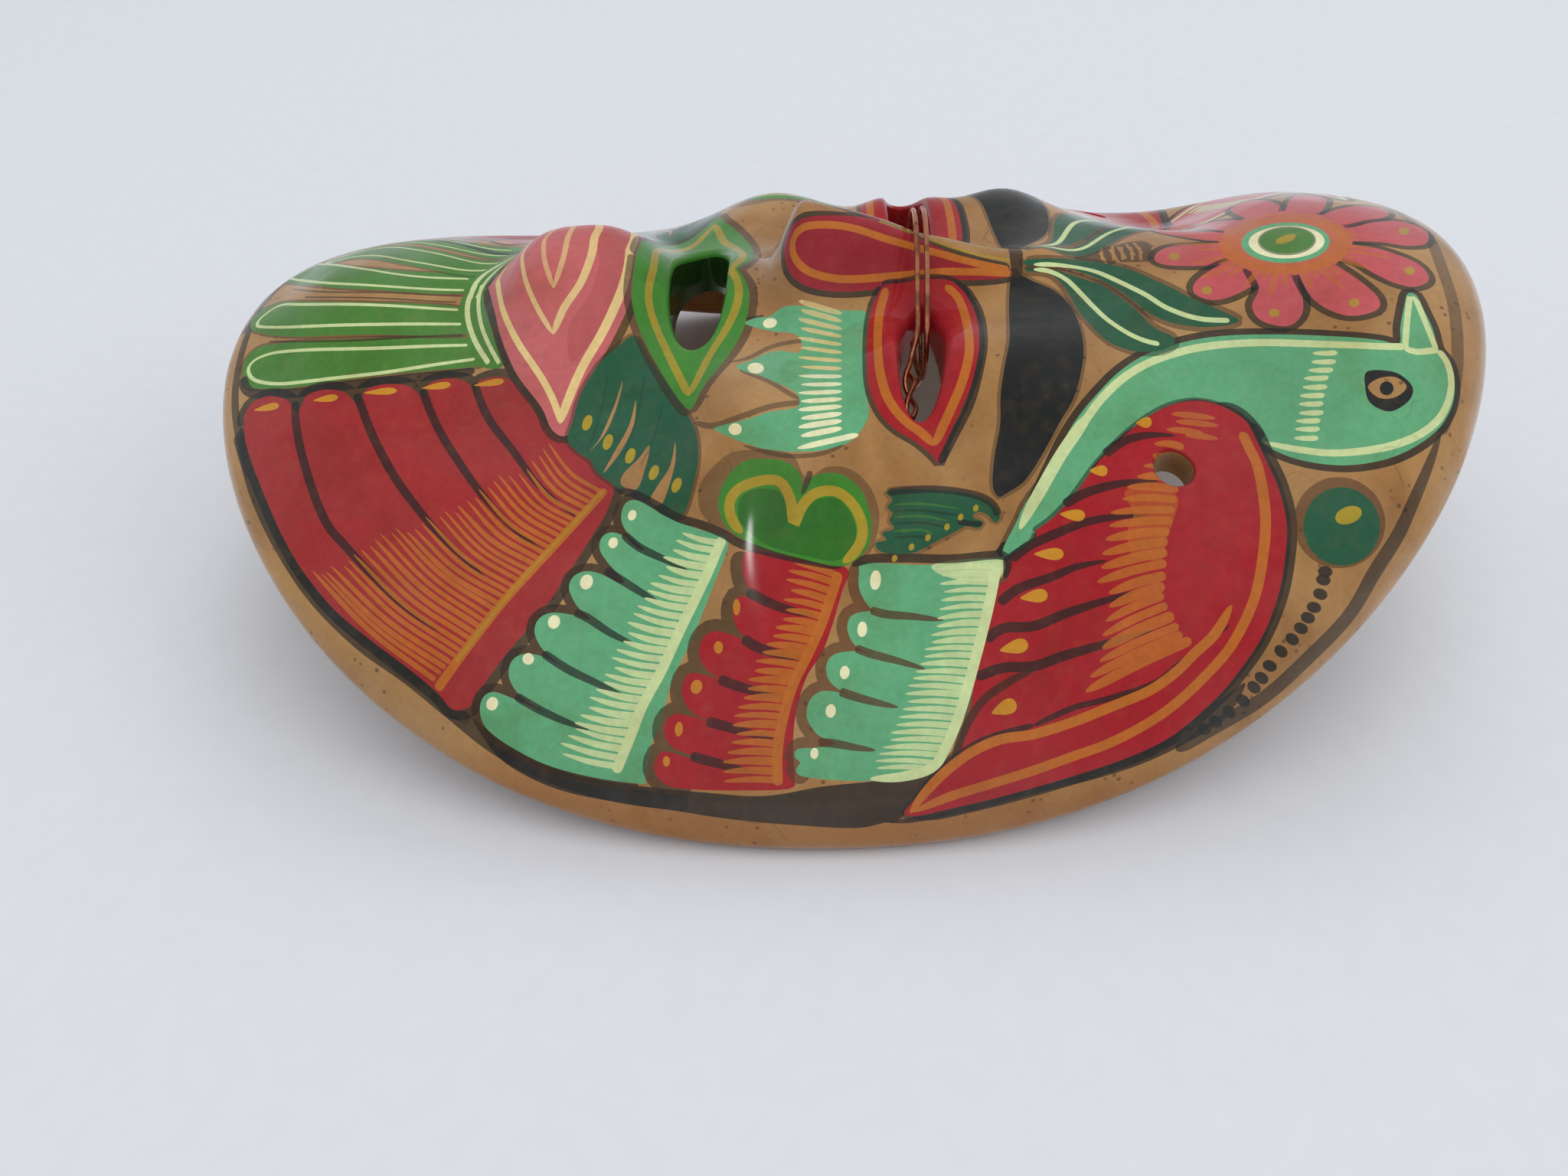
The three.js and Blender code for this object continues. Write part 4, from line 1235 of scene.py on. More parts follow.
@dataclass(frozen=True)
class Slot:
    """An opening cut straight down through the clay, in millimetres, and the paint on its walls."""

    x: float
    y: float
    half_length: float
    half_width: float
    paint: Paint
    painted_share: float
    flare: float = 0.0
    slope: float = 0.0
    squareness: float = 1.0
    sign: int = 1
    edge: float = 1.0

    def outline(self, count: int) -> np.ndarray:
        """Places x, y around the slot."""
        turn = np.arange(count) * TURN / count
        cos, sin = np.cos(turn), np.sin(turn)
        x = self.half_length * np.sign(cos) * np.abs(cos) ** self.squareness
        y = self.y + self.slope * x + self.half_width * sin * (1 + self.flare * cos)
        return np.stack([self.sign * (self.x + x), y], -1)


@dataclass(frozen=True)
class HangingHole:
    """A round hole bored square to the clay, in millimetres."""

    x: float
    y: float
    radius: float = 2.6
    edge: float = 0.6
    paint: Paint = Paint.BARE
    painted_share: float = 0.0


class Opening:
    """One opening of the shell: where it starts on the painted face, and the way that it is cut."""

    points: int = 96

    def __init__(self, form: FaceForm, front: Net, hole: Slot | HangingHole) -> None:
        """Find the outline of the opening on the chart of the painted face."""
        self.hole = hole
        above = 200.0
        if isinstance(hole, Slot):
            self.axis = np.array([0.0, 0.0, 1.0])
            self.plan = hole.outline(self.points)
            starts = np.column_stack([self.plan, np.full(self.points, above)])
        else:
            chart = np.array([front.hit(Vector((hole.x, hole.y, above)), Vector((0, 0, -1)))])
            self.centre = form.front(chart)[0]
            self.axis = form.normals(chart, lambda c: form.dome(c)[0])[0]
            aside = np.cross(self.axis, [0.0, 1.0, 0.0])
            aside /= np.linalg.norm(aside)
            onward = np.cross(self.axis, aside)
            turn = (np.arange(self.points) * TURN / self.points)[:, None]
            ring = self.centre + hole.radius * (np.cos(turn) * aside + np.sin(turn) * onward)
            starts = ring + 15 * self.axis
        self.outline = np.array([front.hit(Vector(start), Vector(-self.axis)) for start in starts])

    def distance(self, place: np.ndarray) -> np.ndarray:
        """How far places lie outside the opening, 0 for those inside."""
        if isinstance(self.hole, HangingHole):
            from_centre = place - self.centre
            along = (from_centre @ self.axis)[..., None] * self.axis
            return np.maximum(np.linalg.norm(from_centre - along, axis=-1) - self.hole.radius, 0)
        away = np.full(place.shape[:-1], 99.0)
        middle = self.plan.mean(0)
        reach = np.abs(self.plan - middle).max(0) + 3
        near = (np.abs(place[..., :2] - middle) < reach).all(-1)
        if near.any():
            spots = place[near][:, None, :2]
            start, end = self.plan, np.roll(self.plan, -1, 0)
            side = end - start
            share = np.clip(((spots - start) * side).sum(-1) / (side * side).sum(-1), 0, 1)
            nearest = np.linalg.norm(spots - start - share[..., None] * side, axis=-1).min(-1)
            nearest[within(place[near][:, :2], self.plan)] = 0
            away[near] = nearest
        return away

    def sink(self, place: np.ndarray) -> np.ndarray:
        """Move places beside the opening down onto its rounded edge."""
        edge = self.hole.edge
        inward = np.clip(edge - self.distance(place), 0, edge)
        drop = edge - np.sqrt(np.maximum(edge**2 - inward**2, 0))
        return place - drop[..., None] * self.axis

    def free_points(self) -> np.ndarray:
        """Chart places in rings around the opening, which let its edge be round."""
        middle = self.outline.mean(0)
        ahead = np.roll(self.outline, -1, 0) - np.roll(self.outline, 1, 0)
        outward = np.stack([ahead[:, 1], -ahead[:, 0]], -1)
        outward /= np.linalg.norm(outward, axis=-1, keepdims=True)
        facing = np.sign(((self.outline - middle) * outward).sum())
        shares = (0.08, 0.22, 0.42, 0.68, 1.0, 1.5)
        return np.concatenate([self.outline + facing * share * self.hole.edge * outward for share in shares])


def within(points: np.ndarray, outline: np.ndarray) -> np.ndarray:
    """Which points lie in an outline, by how often the outline winds around each.

    Args:
        points: Places on the chart.
        outline: The closed outline's places, in order.

    Returns:
        One truth value for each point.
    """
    turns = np.zeros(len(points), int)
    end = np.roll(outline, -1, 0)
    for (x0, y0), (x1, y1) in zip(outline, end):
        side = (x1 - x0) * (points[:, 1] - y0) - (points[:, 0] - x0) * (y1 - y0)
        turns += (y0 <= points[:, 1]) & (points[:, 1] < y1) & (side > 0)
        turns -= (y1 <= points[:, 1]) & (points[:, 1] < y0) & (side < 0)
    return turns != 0


def triangulated(points: np.ndarray, edges: list) -> tuple[np.ndarray, np.ndarray, list]:
    """Triangles between points on the chart that keep the given edges.

    Args:
        points: Places on the chart.
        edges: Pairs of numbers of points.

    Returns:
        The places, the triangles, and for each place the numbers of the points that it came from.
    """
    verts, _, faces, sources, _, _ = delaunay_2d_cdt([Vector(p) for p in points.tolist()], edges, [], 0, 1e-5, True)
    places = np.array([tuple(v) for v in verts])
    triangles = np.array([face for face in faces if len(face) == 3])
    a, b, c = (places[triangles[:, k]] for k in range(3))
    area = (b[:, 0] - a[:, 0]) * (c[:, 1] - a[:, 1]) - (b[:, 1] - a[:, 1]) * (c[:, 0] - a[:, 0])
    triangles[area < 0] = triangles[area < 0][:, ::-1]
    return places, triangles, sources


def honeycomb(form: FaceForm, spacing: float, limit: float) -> np.ndarray:
    """Chart places in an even honeycomb inside limit."""
    rows = np.arange(-form.chart_y, form.chart_y, spacing * math.sqrt(0.75))
    lines = []
    for number, y in enumerate(rows):
        x = np.arange(-form.chart_x, form.chart_x, spacing) + spacing / 2 * (number % 2)
        lines.append(np.stack([x, np.full(len(x), y)], -1))
    places = np.concatenate(lines)
    return places[form.polar(places)[0] < limit]


def loops_of(triangles: np.ndarray) -> list[list[int]]:
    """The border loops of triangles, each in the order in which its triangles run along it."""
    edges = np.concatenate([triangles[:, [0, 1]], triangles[:, [1, 2]], triangles[:, [2, 0]]])
    size = int(triangles.max()) + 1
    forward = edges[:, 0] * size + edges[:, 1]
    backward = edges[:, 1] * size + edges[:, 0]
    border = edges[~np.isin(forward, backward)]
    following = dict(border.tolist())
    loops = []
    while following:
        start, place = following.popitem()
        loop = [start]
        while place != start:
            loop.append(place)
            place = following.pop(place)
        loops.append(loop)
    return loops


@dataclass
class MeshParts:
    """Growing lists of a mesh: places, triangles, the paint and the normals of their corners."""

    places: list[np.ndarray] = field(default_factory=list)
    triangles: list[np.ndarray] = field(default_factory=list)
    paints: list[np.ndarray] = field(default_factory=list)
    normals: list[np.ndarray] = field(default_factory=list)
    count: int = 0

    def add_places(self, places: np.ndarray) -> np.ndarray:
        """Add places and return their numbers."""
        numbers = np.arange(self.count, self.count + len(places))
        self.places.append(places)
        self.count += len(places)
        return numbers

    def add_triangles(self, triangles: np.ndarray, paint: np.ndarray, normals: np.ndarray) -> None:
        """Add triangles, the paint of each and the normals of their corners."""
        self.triangles.append(triangles)
        self.paints.append(np.broadcast_to(paint, (len(triangles), 4)))
        self.normals.append(normals)


@dataclass
class MaskShell:
    """The hollow clay shell with its painting, in millimetres."""

    form: FaceForm
    camera: PhotoCamera
    grid: float = 1.4
    inner_grid: float = 3.0
    rim_points: int = 480
    rim_rows: int = 12
    wall_rows: tuple[float, ...] = (0.0, 0.1, 0.25, 0.45, 0.62, 0.8, 1.0)
    holes: tuple = (
        Slot(18.8, 11.0, 11.8, 3.0, Paint.RED, 1.0, flare=0.2, slope=-0.06),
        Slot(18.8, 11.0, 11.8, 3.0, Paint.RED, 1.0, flare=0.2, slope=-0.06, sign=-1),
        Slot(0.0, -19.9, 13.8, 4.1, Paint.HOLE_GREEN, 1.0, squareness=0.8),
        HangingHole(35.6, 42.2),
        HangingHole(-35.6, 42.2),
    )

    def build(self) -> bpy.types.Object:
        """Build the shell as one closed mesh with its painting."""
        brush = Brush(self.form, self.camera)
        shapes = Painting(brush).paint()
        self.openings = [Opening(self.form, brush.net, hole) for hole in self.holes]
        self.back_net = Net(self.form, self.form.back)
        parts = MeshParts()
        loops = self.add_front(parts, shapes)
        self.add_back(parts, loops)
        return self.finished(parts)

    def surface(self, chart: np.ndarray) -> np.ndarray:
        """Places of the painted face with the rounded edges of its openings."""
        place = self.form.skin(chart)
        for opening in self.openings:
            place = opening.sink(place)
        return place

    def add_front(self, parts: MeshParts, shapes: list[Shape]) -> list[dict]:
        """Add the painted face, and return its border loops with their openings."""
        way = np.arange(self.rim_points) * TURN / self.rim_points
        rings = [self.form.chart(np.ones(self.rim_points), way), *(o.outline for o in self.openings)]
        pieces = [piece for shape in shapes for piece in shape.pieces]
        outlines = rings + pieces
        points = np.concatenate(outlines)
        edges = []
        start = 0
        for outline in outlines:
            numbers = np.arange(start, start + len(outline))
            edges += np.stack([numbers, np.roll(numbers, -1)], -1).tolist()
            start += len(outline)
        free = np.concatenate([o.free_points() for o in self.openings])
        honey = honeycomb(self.form, self.grid, 0.992)
        taken = cells_of(np.concatenate([points, free]), 0.5)
        honey = honey[~np.isin(cells_of(honey, 0.5), taken)]
        chart, triangles, _ = triangulated(np.concatenate([points, free, honey]), edges)
        middle = chart[triangles].mean(1)
        kept = np.ones(len(triangles), bool)
        for opening in self.openings:
            kept &= ~within(middle, opening.outline)
        triangles, middle = triangles[kept], middle[kept]
        used, triangles = np.unique(triangles, return_inverse=True)
        triangles, chart = triangles.reshape(-1, 3), chart[used]
        normals = self.form.normals(chart, self.surface)
        numbers = parts.add_places(self.surface(chart))
        parts.add_triangles(numbers[triangles], painted(middle, shapes), normals[triangles])
        LOG.info("painted face: %d shapes, %d triangles", len(shapes), len(triangles))
        loops = []
        for loop in loops_of(triangles):
            opening = next((o for o in self.openings if within(chart[loop], grown(o.outline)).all()), None)
            loops.append({"numbers": numbers[loop], "chart": chart[loop], "opening": opening})
        return loops

    def add_back(self, parts: MeshParts, loops: list[dict]) -> None:
        """Add the walls of the openings, the round rim and the inner face."""
        bare = np.zeros(4)
        ring_charts = []
        for loop in loops:
            front = self.surface(loop["chart"])
            if loop["opening"] is None:
                inner_chart = loop["chart"]
                inner = self.form.back(inner_chart)
                outward = self.form.normals(loop["chart"], lambda c: self.form.dome(c)[0])
                turns = np.arange(1, self.rim_rows) * math.pi / self.rim_rows
                centre = front - self.form.wall / 2 * outward
                down = np.array([0.0, 0.0, -1.0])
                directions = [math.cos(t) * outward + math.sin(t) * down for t in turns]
                rows = [centre + self.form.wall / 2 * direction for direction in directions]
                wall_normals = [outward, *directions, -outward]
                colours = [bare] * self.rim_rows
            else:
                opening = loop["opening"]
                axis = opening.axis
                hits = [self.back_net.hit(Vector(p), Vector(-axis)) for p in front]
                inner_chart = np.array(hits)
                inner = self.form.back(inner_chart)
                rows = [front + (inner - front) * share for share in self.wall_rows[1:-1]]
                ahead = np.roll(front, -1, 0) - np.roll(front, 1, 0)
                inward = np.cross(axis, ahead)
                inward /= np.linalg.norm(inward, axis=-1, keepdims=True)
                wall_normals = [-inward] * (len(rows) + 2)
                paint = np.array([*linear(opening.hole.paint.value), 1.0])
                share = opening.hole.painted_share
                colours = [paint if stop <= share else bare for stop in self.wall_rows[1:]]
            numbers = [loop["numbers"], *(parts.add_places(row) for row in rows), parts.add_places(inner)]
            ring_charts.append((inner_chart, numbers[-1], loop["opening"]))
            for k, colour in enumerate(colours):
                a, b = numbers[k], numbers[k + 1]
                c, d = np.roll(b, -1), np.roll(a, -1)
                na, nb = wall_normals[k], wall_normals[k + 1]
                nc, nd = np.roll(nb, -1, 0), np.roll(na, -1, 0)
                parts.add_triangles(np.stack([a, c, d], -1), colour, np.stack([na, nc, nd], 1))
                parts.add_triangles(np.stack([a, b, c], -1), colour, np.stack([na, nb, nc], 1))
        self.add_inner_face(parts, ring_charts)

    def add_inner_face(self, parts: MeshParts, rings: list[tuple]) -> None:
        """Add the inner face between the given rings of places."""
        points = np.concatenate([chart for chart, _, _ in rings])
        known = np.concatenate([numbers for _, numbers, _ in rings])
        edges = []
        start = 0
        for chart, _, _ in rings:
            numbers = np.arange(start, start + len(chart))
            edges += np.stack([numbers, np.roll(numbers, -1)], -1).tolist()
            start += len(chart)
        honey = honeycomb(self.form, self.inner_grid, 0.99)
        honey = honey[~np.isin(cells_of(honey, 1.2), cells_of(points, 1.2))]
        chart, triangles, sources = triangulated(np.concatenate([points, honey]), edges)
        middle = chart[triangles].mean(1)
        kept = np.ones(len(triangles), bool)
        for ring, _, opening in rings:
            if opening is not None:
                kept &= ~within(middle, ring)
        triangles = triangles[kept]
        place_of = np.full(len(chart), -1)
        for number, source in enumerate(sources):
            fixed = [s for s in source if s < len(points)]
            if fixed:
                place_of[number] = known[fixed[0]]
        fresh = np.nonzero((place_of < 0) & np.isin(np.arange(len(chart)), triangles))[0]
        place_of[fresh] = parts.add_places(self.form.back(chart[fresh]))
        normals = -self.form.normals(chart, self.form.back)
        flipped = triangles[:, ::-1]
        parts.add_triangles(place_of[flipped], np.zeros(4), normals[flipped])

    def finished(self, parts: MeshParts) -> bpy.types.Object:
        """One Blender mesh from the parts."""
        places = np.concatenate(parts.places) * MM
        triangles = np.concatenate(parts.triangles)
        mesh = bpy.data.meshes.new("painted_shell")
        mesh.from_pydata(places.tolist(), [], triangles.tolist())
        mesh.shade_smooth()
        paint = mesh.color_attributes.new("paint", "FLOAT_COLOR", "CORNER")
        paint.data.foreach_set("color", np.repeat(np.concatenate(parts.paints), 3, 0).ravel())
        mesh.normals_split_custom_set(np.concatenate(parts.normals).reshape(-1, 3).tolist())
        shell = bpy.data.objects.new("painted_shell", mesh)
        bpy.context.collection.objects.link(shell)
        LOG.info("painted_shell: %d places, %d triangles", len(places), len(triangles))
        return shell


def cells_of(places: np.ndarray, size: float) -> np.ndarray:
    """One number for the small square cell of the chart in which each place lies."""
    columns = 100_000
    cell = np.floor(places / size).astype(int)
    return cell[:, 0] * columns + cell[:, 1]


def grown(outline: np.ndarray) -> np.ndarray:
    """An outline a little larger around its own middle."""
    middle = outline.mean(0)
    return middle + (outline - middle) * 1.02


def painted(middles: np.ndarray, shapes: list[Shape]) -> np.ndarray:
    """Colour of each triangle after all shapes have been painted over one another.

    Args:
        middles: The middles of the triangles on the chart.
        shapes: The shapes, from the lowest to the uppermost.

    Returns:
        Linear red, green and blue, and how well the clay is covered, for each triangle.
    """
    colour = np.zeros((len(middles), 3))
    cover = np.zeros(len(middles))
    order = np.argsort(middles[:, 0])
    sorted_x = middles[order, 0]
    for shape in shapes:
        hit = np.zeros(len(middles), bool)
        for piece in shape.pieces:
            low, high = piece.min(0), piece.max(0)
            band = order[np.searchsorted(sorted_x, low[0]):np.searchsorted(sorted_x, high[0])]
            band = band[(middles[band, 1] >= low[1]) & (middles[band, 1] <= high[1])]
            hit[band[within(middles[band], piece)]] = True
        keep = 1 - shape.cover
        colour[hit] *= keep
        cover[hit] *= keep
        if shape.paint is not Paint.BARE:
            colour[hit] += shape.cover * np.array(linear(shape.paint.value))
            cover[hit] += shape.cover
    colour /= np.maximum(cover, 1e-6)[:, None]
    return np.column_stack([colour, cover])


class Value:
    """A shader value that can be used in sums, by wrapping the socket that it comes from."""

    def __init__(self, tree: "NodeTree", socket: bpy.types.NodeSocket) -> None:
        """Wrap a socket of a node tree."""
        self.tree = tree
        self.socket = socket

    def _math(self, operation: str, first: "Term", second: "Term" = 0.0, clamp: bool = False) -> "Value":
        """A Math node on two terms."""
        settings = {"operation": operation, "use_clamp": clamp}
        return self.tree.node("ShaderNodeMath", settings, {0: first, 1: second})

    def __add__(self, other: "Term") -> "Value":
        """This and other added."""
        return self._math("ADD", self, other)

    def __sub__(self, other: "Term") -> "Value":
        """This less other."""
        return self._math("SUBTRACT", self, other)

    def __rsub__(self, other: "Term") -> "Value":
        """Other less this."""
        return self._math("SUBTRACT", other, self)

    def __mul__(self, other: "Term") -> "Value":
        """This times other."""
        return self._math("MULTIPLY", self, other)

    __radd__ = __add__
    __rmul__ = __mul__

    def __pow__(self, power: float) -> "Value":
        """This to a power."""
        return self._math("POWER", self, power)

    def clamped(self) -> "Value":
        """This held between 0 and 1."""
        return self._math("ADD", self, 0.0, clamp=True)

    def between(self, low: float, high: float, at_low: float = 0.0, at_high: float = 1.0) -> "Value":
        """A soft step from at_low, where this is at most low, to at_high, where it is at least high."""
        settings = {"interpolation_type": "SMOOTHSTEP"}
        sockets = {0: self, 1: low, 2: high, 3: at_low, 4: at_high}
        return self.tree.node("ShaderNodeMapRange", settings, sockets)


Term = Value | float


class NodeTree:
    """The node tree of one material, with the few kinds of node that the finishes use."""

    def __init__(self, name: str) -> None:
        """Begin a material."""
        self.material = bpy.data.materials.new(name)
        self.material.use_nodes = True
        self.tree = self.material.node_tree
        self.tree.nodes.clear()
        self.place = self.node("ShaderNodeTexCoord", {}, {}, "Object")

    def node(self, kind: str, settings: dict, sockets: dict, output: str | int = 0) -> Value:
        """Add a node.

        Args:
            kind: The node's type.
            settings: Its settings.
            sockets: Values or links of its inputs, by name or number.
            output: The output that is given back.

        Returns:
            The wrapped output.
        """
        node = self.tree.nodes.new(kind)
        for name, value in settings.items():
            setattr(node, name, value)
        for key, value in sockets.items():
            if isinstance(value, Value):
                self.tree.links.new(value.socket, node.inputs[key])
            else:
                node.inputs[key].default_value = value
        return Value(self, node.outputs[output])

    def noise(self, scale: float, detail: float = 2.0, warp: float = 0.0, roughness: float = 0.5) -> Value:
        """Cloudy noise from 0 to 1, whose scale is a count of clouds in a metre."""
        sockets = {"Vector": self.place, "Scale": scale, "Detail": detail, "Roughness": roughness, "Distortion": warp}
        return self.node("ShaderNodeTexNoise", {}, sockets, 0)

    def cells(self, scale: float, feature: str, place: Value | None = None) -> Value:
        """Distances in a pattern of cells, whose scale is a count of cells in a metre."""
        sockets = {"Vector": place or self.place, "Scale": scale}
        return self.node("ShaderNodeTexVoronoi", {"feature": feature}, sockets, "Distance")

    def shifted(self, amount: float, scale: float) -> Value:
        """The place, pushed about by noise."""
        push = self.node("ShaderNodeTexNoise", {}, {"Vector": self.place, "Scale": scale}, "Color")
        sockets = {0: push, 1: (amount, amount, amount), 2: self.place}
        return self.node("ShaderNodeVectorMath", {"operation": "MULTIPLY_ADD"}, sockets)

    def mix(self, share: Term, first: Value | tuple, second: Value | tuple, blend: str = "MIX") -> Value:
        """A colour between two colours, or one laid over the other by a blend."""
        settings = {"data_type": "RGBA", "blend_type": blend}
        return self.node("ShaderNodeMix", settings, {0: share, 6: first, 7: second}, 2)

    def grey(self, value: Value) -> Value:
        """A grey colour of a value's strength."""
        return self.node("ShaderNodeCombineColor", {}, {0: value, 1: value, 2: value})

    def bump(self, height: Value, strength: float, distance: float) -> Value:
        """Normals of a relief with the given height in distance metres."""
        sockets = {"Height": height, "Strength": strength, "Distance": distance}
        return self.node("ShaderNodeBump", {}, sockets, "Normal")

    def finish(self, sockets: dict) -> bpy.types.Material:
        """End the material with a Principled shader of the given sockets."""
        shader = self.node("ShaderNodeBsdfPrincipled", {}, sockets)
        self.node_output(shader)
        return self.material

    def node_output(self, shader: Value) -> None:
        """Join a shader to the material's output."""
        output = self.tree.nodes.new("ShaderNodeOutputMaterial")
        self.tree.links.new(shader.socket, output.inputs["Surface"])


def opaque(colour: Colour) -> tuple[float, float, float, float]:
    """A linear colour with full alpha."""
    return (*colour, 1.0)


@dataclass(frozen=True)
class PaintedClay:
    """Buff clay with flat paints under a hand-brushed varnish, and painted shade on the low rim. The colours are
    linear.
    """

    clay: Colour = (0.43, 0.225, 0.075)
    clay_dark: Colour = (0.29, 0.135, 0.045)
    clay_pale: Colour = (0.54, 0.325, 0.135)
    # Painted shade: a darker clay laid on the lowest part of the rim, full below the first height and gone above the
    # second, in metres.
    clay_painted_shade: Colour = (0.33, 0.135, 0.035)
    painted_shade_heights: tuple[float, float] = (0.005, 0.016)
    pit: Colour = (0.10, 0.045, 0.018)
    stain: Colour = (0.80, 0.68, 0.52)
    body_roughness: float = 0.52
    body_gloss: float = 0.12
    varnish_roughness: float = 0.085
    varnish_ior: float = 1.4
    varnish_thin: float = 0.30
    varnish_full: float = 0.95

    def material(self) -> bpy.types.Material:
        """Build the material. The paint comes from the mesh's colour attribute "paint"."""
        tree = NodeTree("painted_clay")
        paint = tree.node("ShaderNodeAttribute", {"attribute_name": "paint"}, {}, "Color")
        cover = Value(tree, paint.socket.node.outputs["Alpha"])
        blotches = tree.noise(75, 4, 0.4).between(0.36, 0.68)
        clouds = tree.noise(28, 3).between(0.42, 0.72)
        grain = tree.noise(1150, 3)
        clay = tree.mix(blotches * 0.75, opaque(self.clay), opaque(self.clay_dark))
        clay = tree.mix(clouds * 0.6, clay, opaque(self.clay_pale))
        height = tree.node("ShaderNodeSeparateXYZ", {}, {0: tree.place}, 2)
        # Painted shade: the clay is darkened towards the bottom of the rim.
        clay = tree.mix(height.between(*self.painted_shade_heights, 0.85, 0.0), clay, opaque(self.clay_painted_shade))
        specks = tree.cells(620, "F1").between(0.10, 0.24, 1.0, 0.0) * tree.noise(150, 1).between(0.5, 0.6)
        crack_place = tree.shifted(0.006, 120)
        cracks = tree.cells(88, "DISTANCE_TO_EDGE", crack_place).between(0.002, 0.012, 1.0, 0.0)
        cracks = cracks * tree.noise(45, 2).between(0.60, 0.68) * (1 - 0.6 * cover)
        clay = tree.mix((specks * 0.75).clamped(), clay, opaque(self.pit))
        strokes = tree.noise(330, 3, 0.6)
        patches = tree.noise(62, 3)
        tone = 0.76 + 0.30 * strokes + 0.20 * patches
        paint = tree.mix(1.0, paint, tree.grey(tone), "MULTIPLY")
        worn = tree.noise(240, 5, 0, 0.62).between(0.60, 0.72) * tree.noise(34, 2).between(0.45, 0.65)
        thin = 1 - 0.04 * tree.noise(480, 3).between(0.45, 0.7) - 0.05 * worn
        colour = tree.mix(cover * thin, clay, paint)
        stained = tree.noise(95, 4, 0.3).between(0.48, 0.74, 0.0, 0.6)
        colour = tree.mix(stained, colour, opaque(self.stain), "MULTIPLY")
        shade = 0.86 + 0.28 * grain
        colour = tree.mix(1.0, colour, tree.grey(shade), "MULTIPLY")
        colour = tree.mix((cracks * 0.45).clamped(), colour, opaque(self.pit))
        varnish = tree.noise(52, 4, 0.5).between(0.34, 0.62, self.varnish_thin, self.varnish_full)
        roughness = self.body_roughness + 0.16 * (blotches - 0.5)
        relief = 0.30 * tree.noise(190, 3) + 0.10 * grain - 0.05 * specks - 0.06 * cracks
        relief = relief + 0.05 * cover * strokes + 0.012 * cover
        return tree.finish({
            "Base Color": colour,
            "Roughness": roughness,
            "Specular IOR Level": self.body_gloss,
            "Coat Weight": varnish,
            "Coat Roughness": self.varnish_roughness,
            "Coat IOR": self.varnish_ior,
            "Normal": tree.bump(relief, 0.55, 1.0 * MM),
        })


@dataclass(frozen=True)
class BareCopper:
    """Browned copper wire. The colours are linear."""

    bright: Colour = (0.62, 0.26, 0.14)
    browned: Colour = (0.27, 0.10, 0.05)
    smooth_roughness: float = 0.24
    dull_roughness: float = 0.46

    def material(self) -> bpy.types.Material:
        """Build the material."""
        tree = NodeTree("copper_wire")
        tarnish = tree.noise(420, 4, 0.5).between(0.4, 0.66)
        colour = tree.mix(tarnish * 0.8, opaque(self.bright), opaque(self.browned))
        roughness = tarnish.between(0.0, 1.0, self.smooth_roughness, self.dull_roughness)
        return tree.finish({
            "Base Color": colour,
            "Roughness": roughness,
            "Metallic": 1.0,
            "Normal": tree.bump(tree.noise(2600, 3), 0.25, 0.05 * MM),
        })


@dataclass(frozen=True)
class WhitePaper:
    """A plain pale sheet to lie on. The colours are linear."""

    pale: Colour = (0.80, 0.815, 0.85)
    shaded: Colour = (0.785, 0.80, 0.835)

    def material(self) -> bpy.types.Material:
        """Build the material."""
        tree = NodeTree("white_paper")
        colour = tree.mix(tree.noise(240, 4).between(0.3, 0.7), opaque(self.pale), opaque(self.shaded))
        height = tree.noise(1500, 3)
        return tree.finish({
            "Base Color": colour,
            "Roughness": 0.85,
            "Normal": tree.bump(height, 0.15, 0.05 * MM),
        })


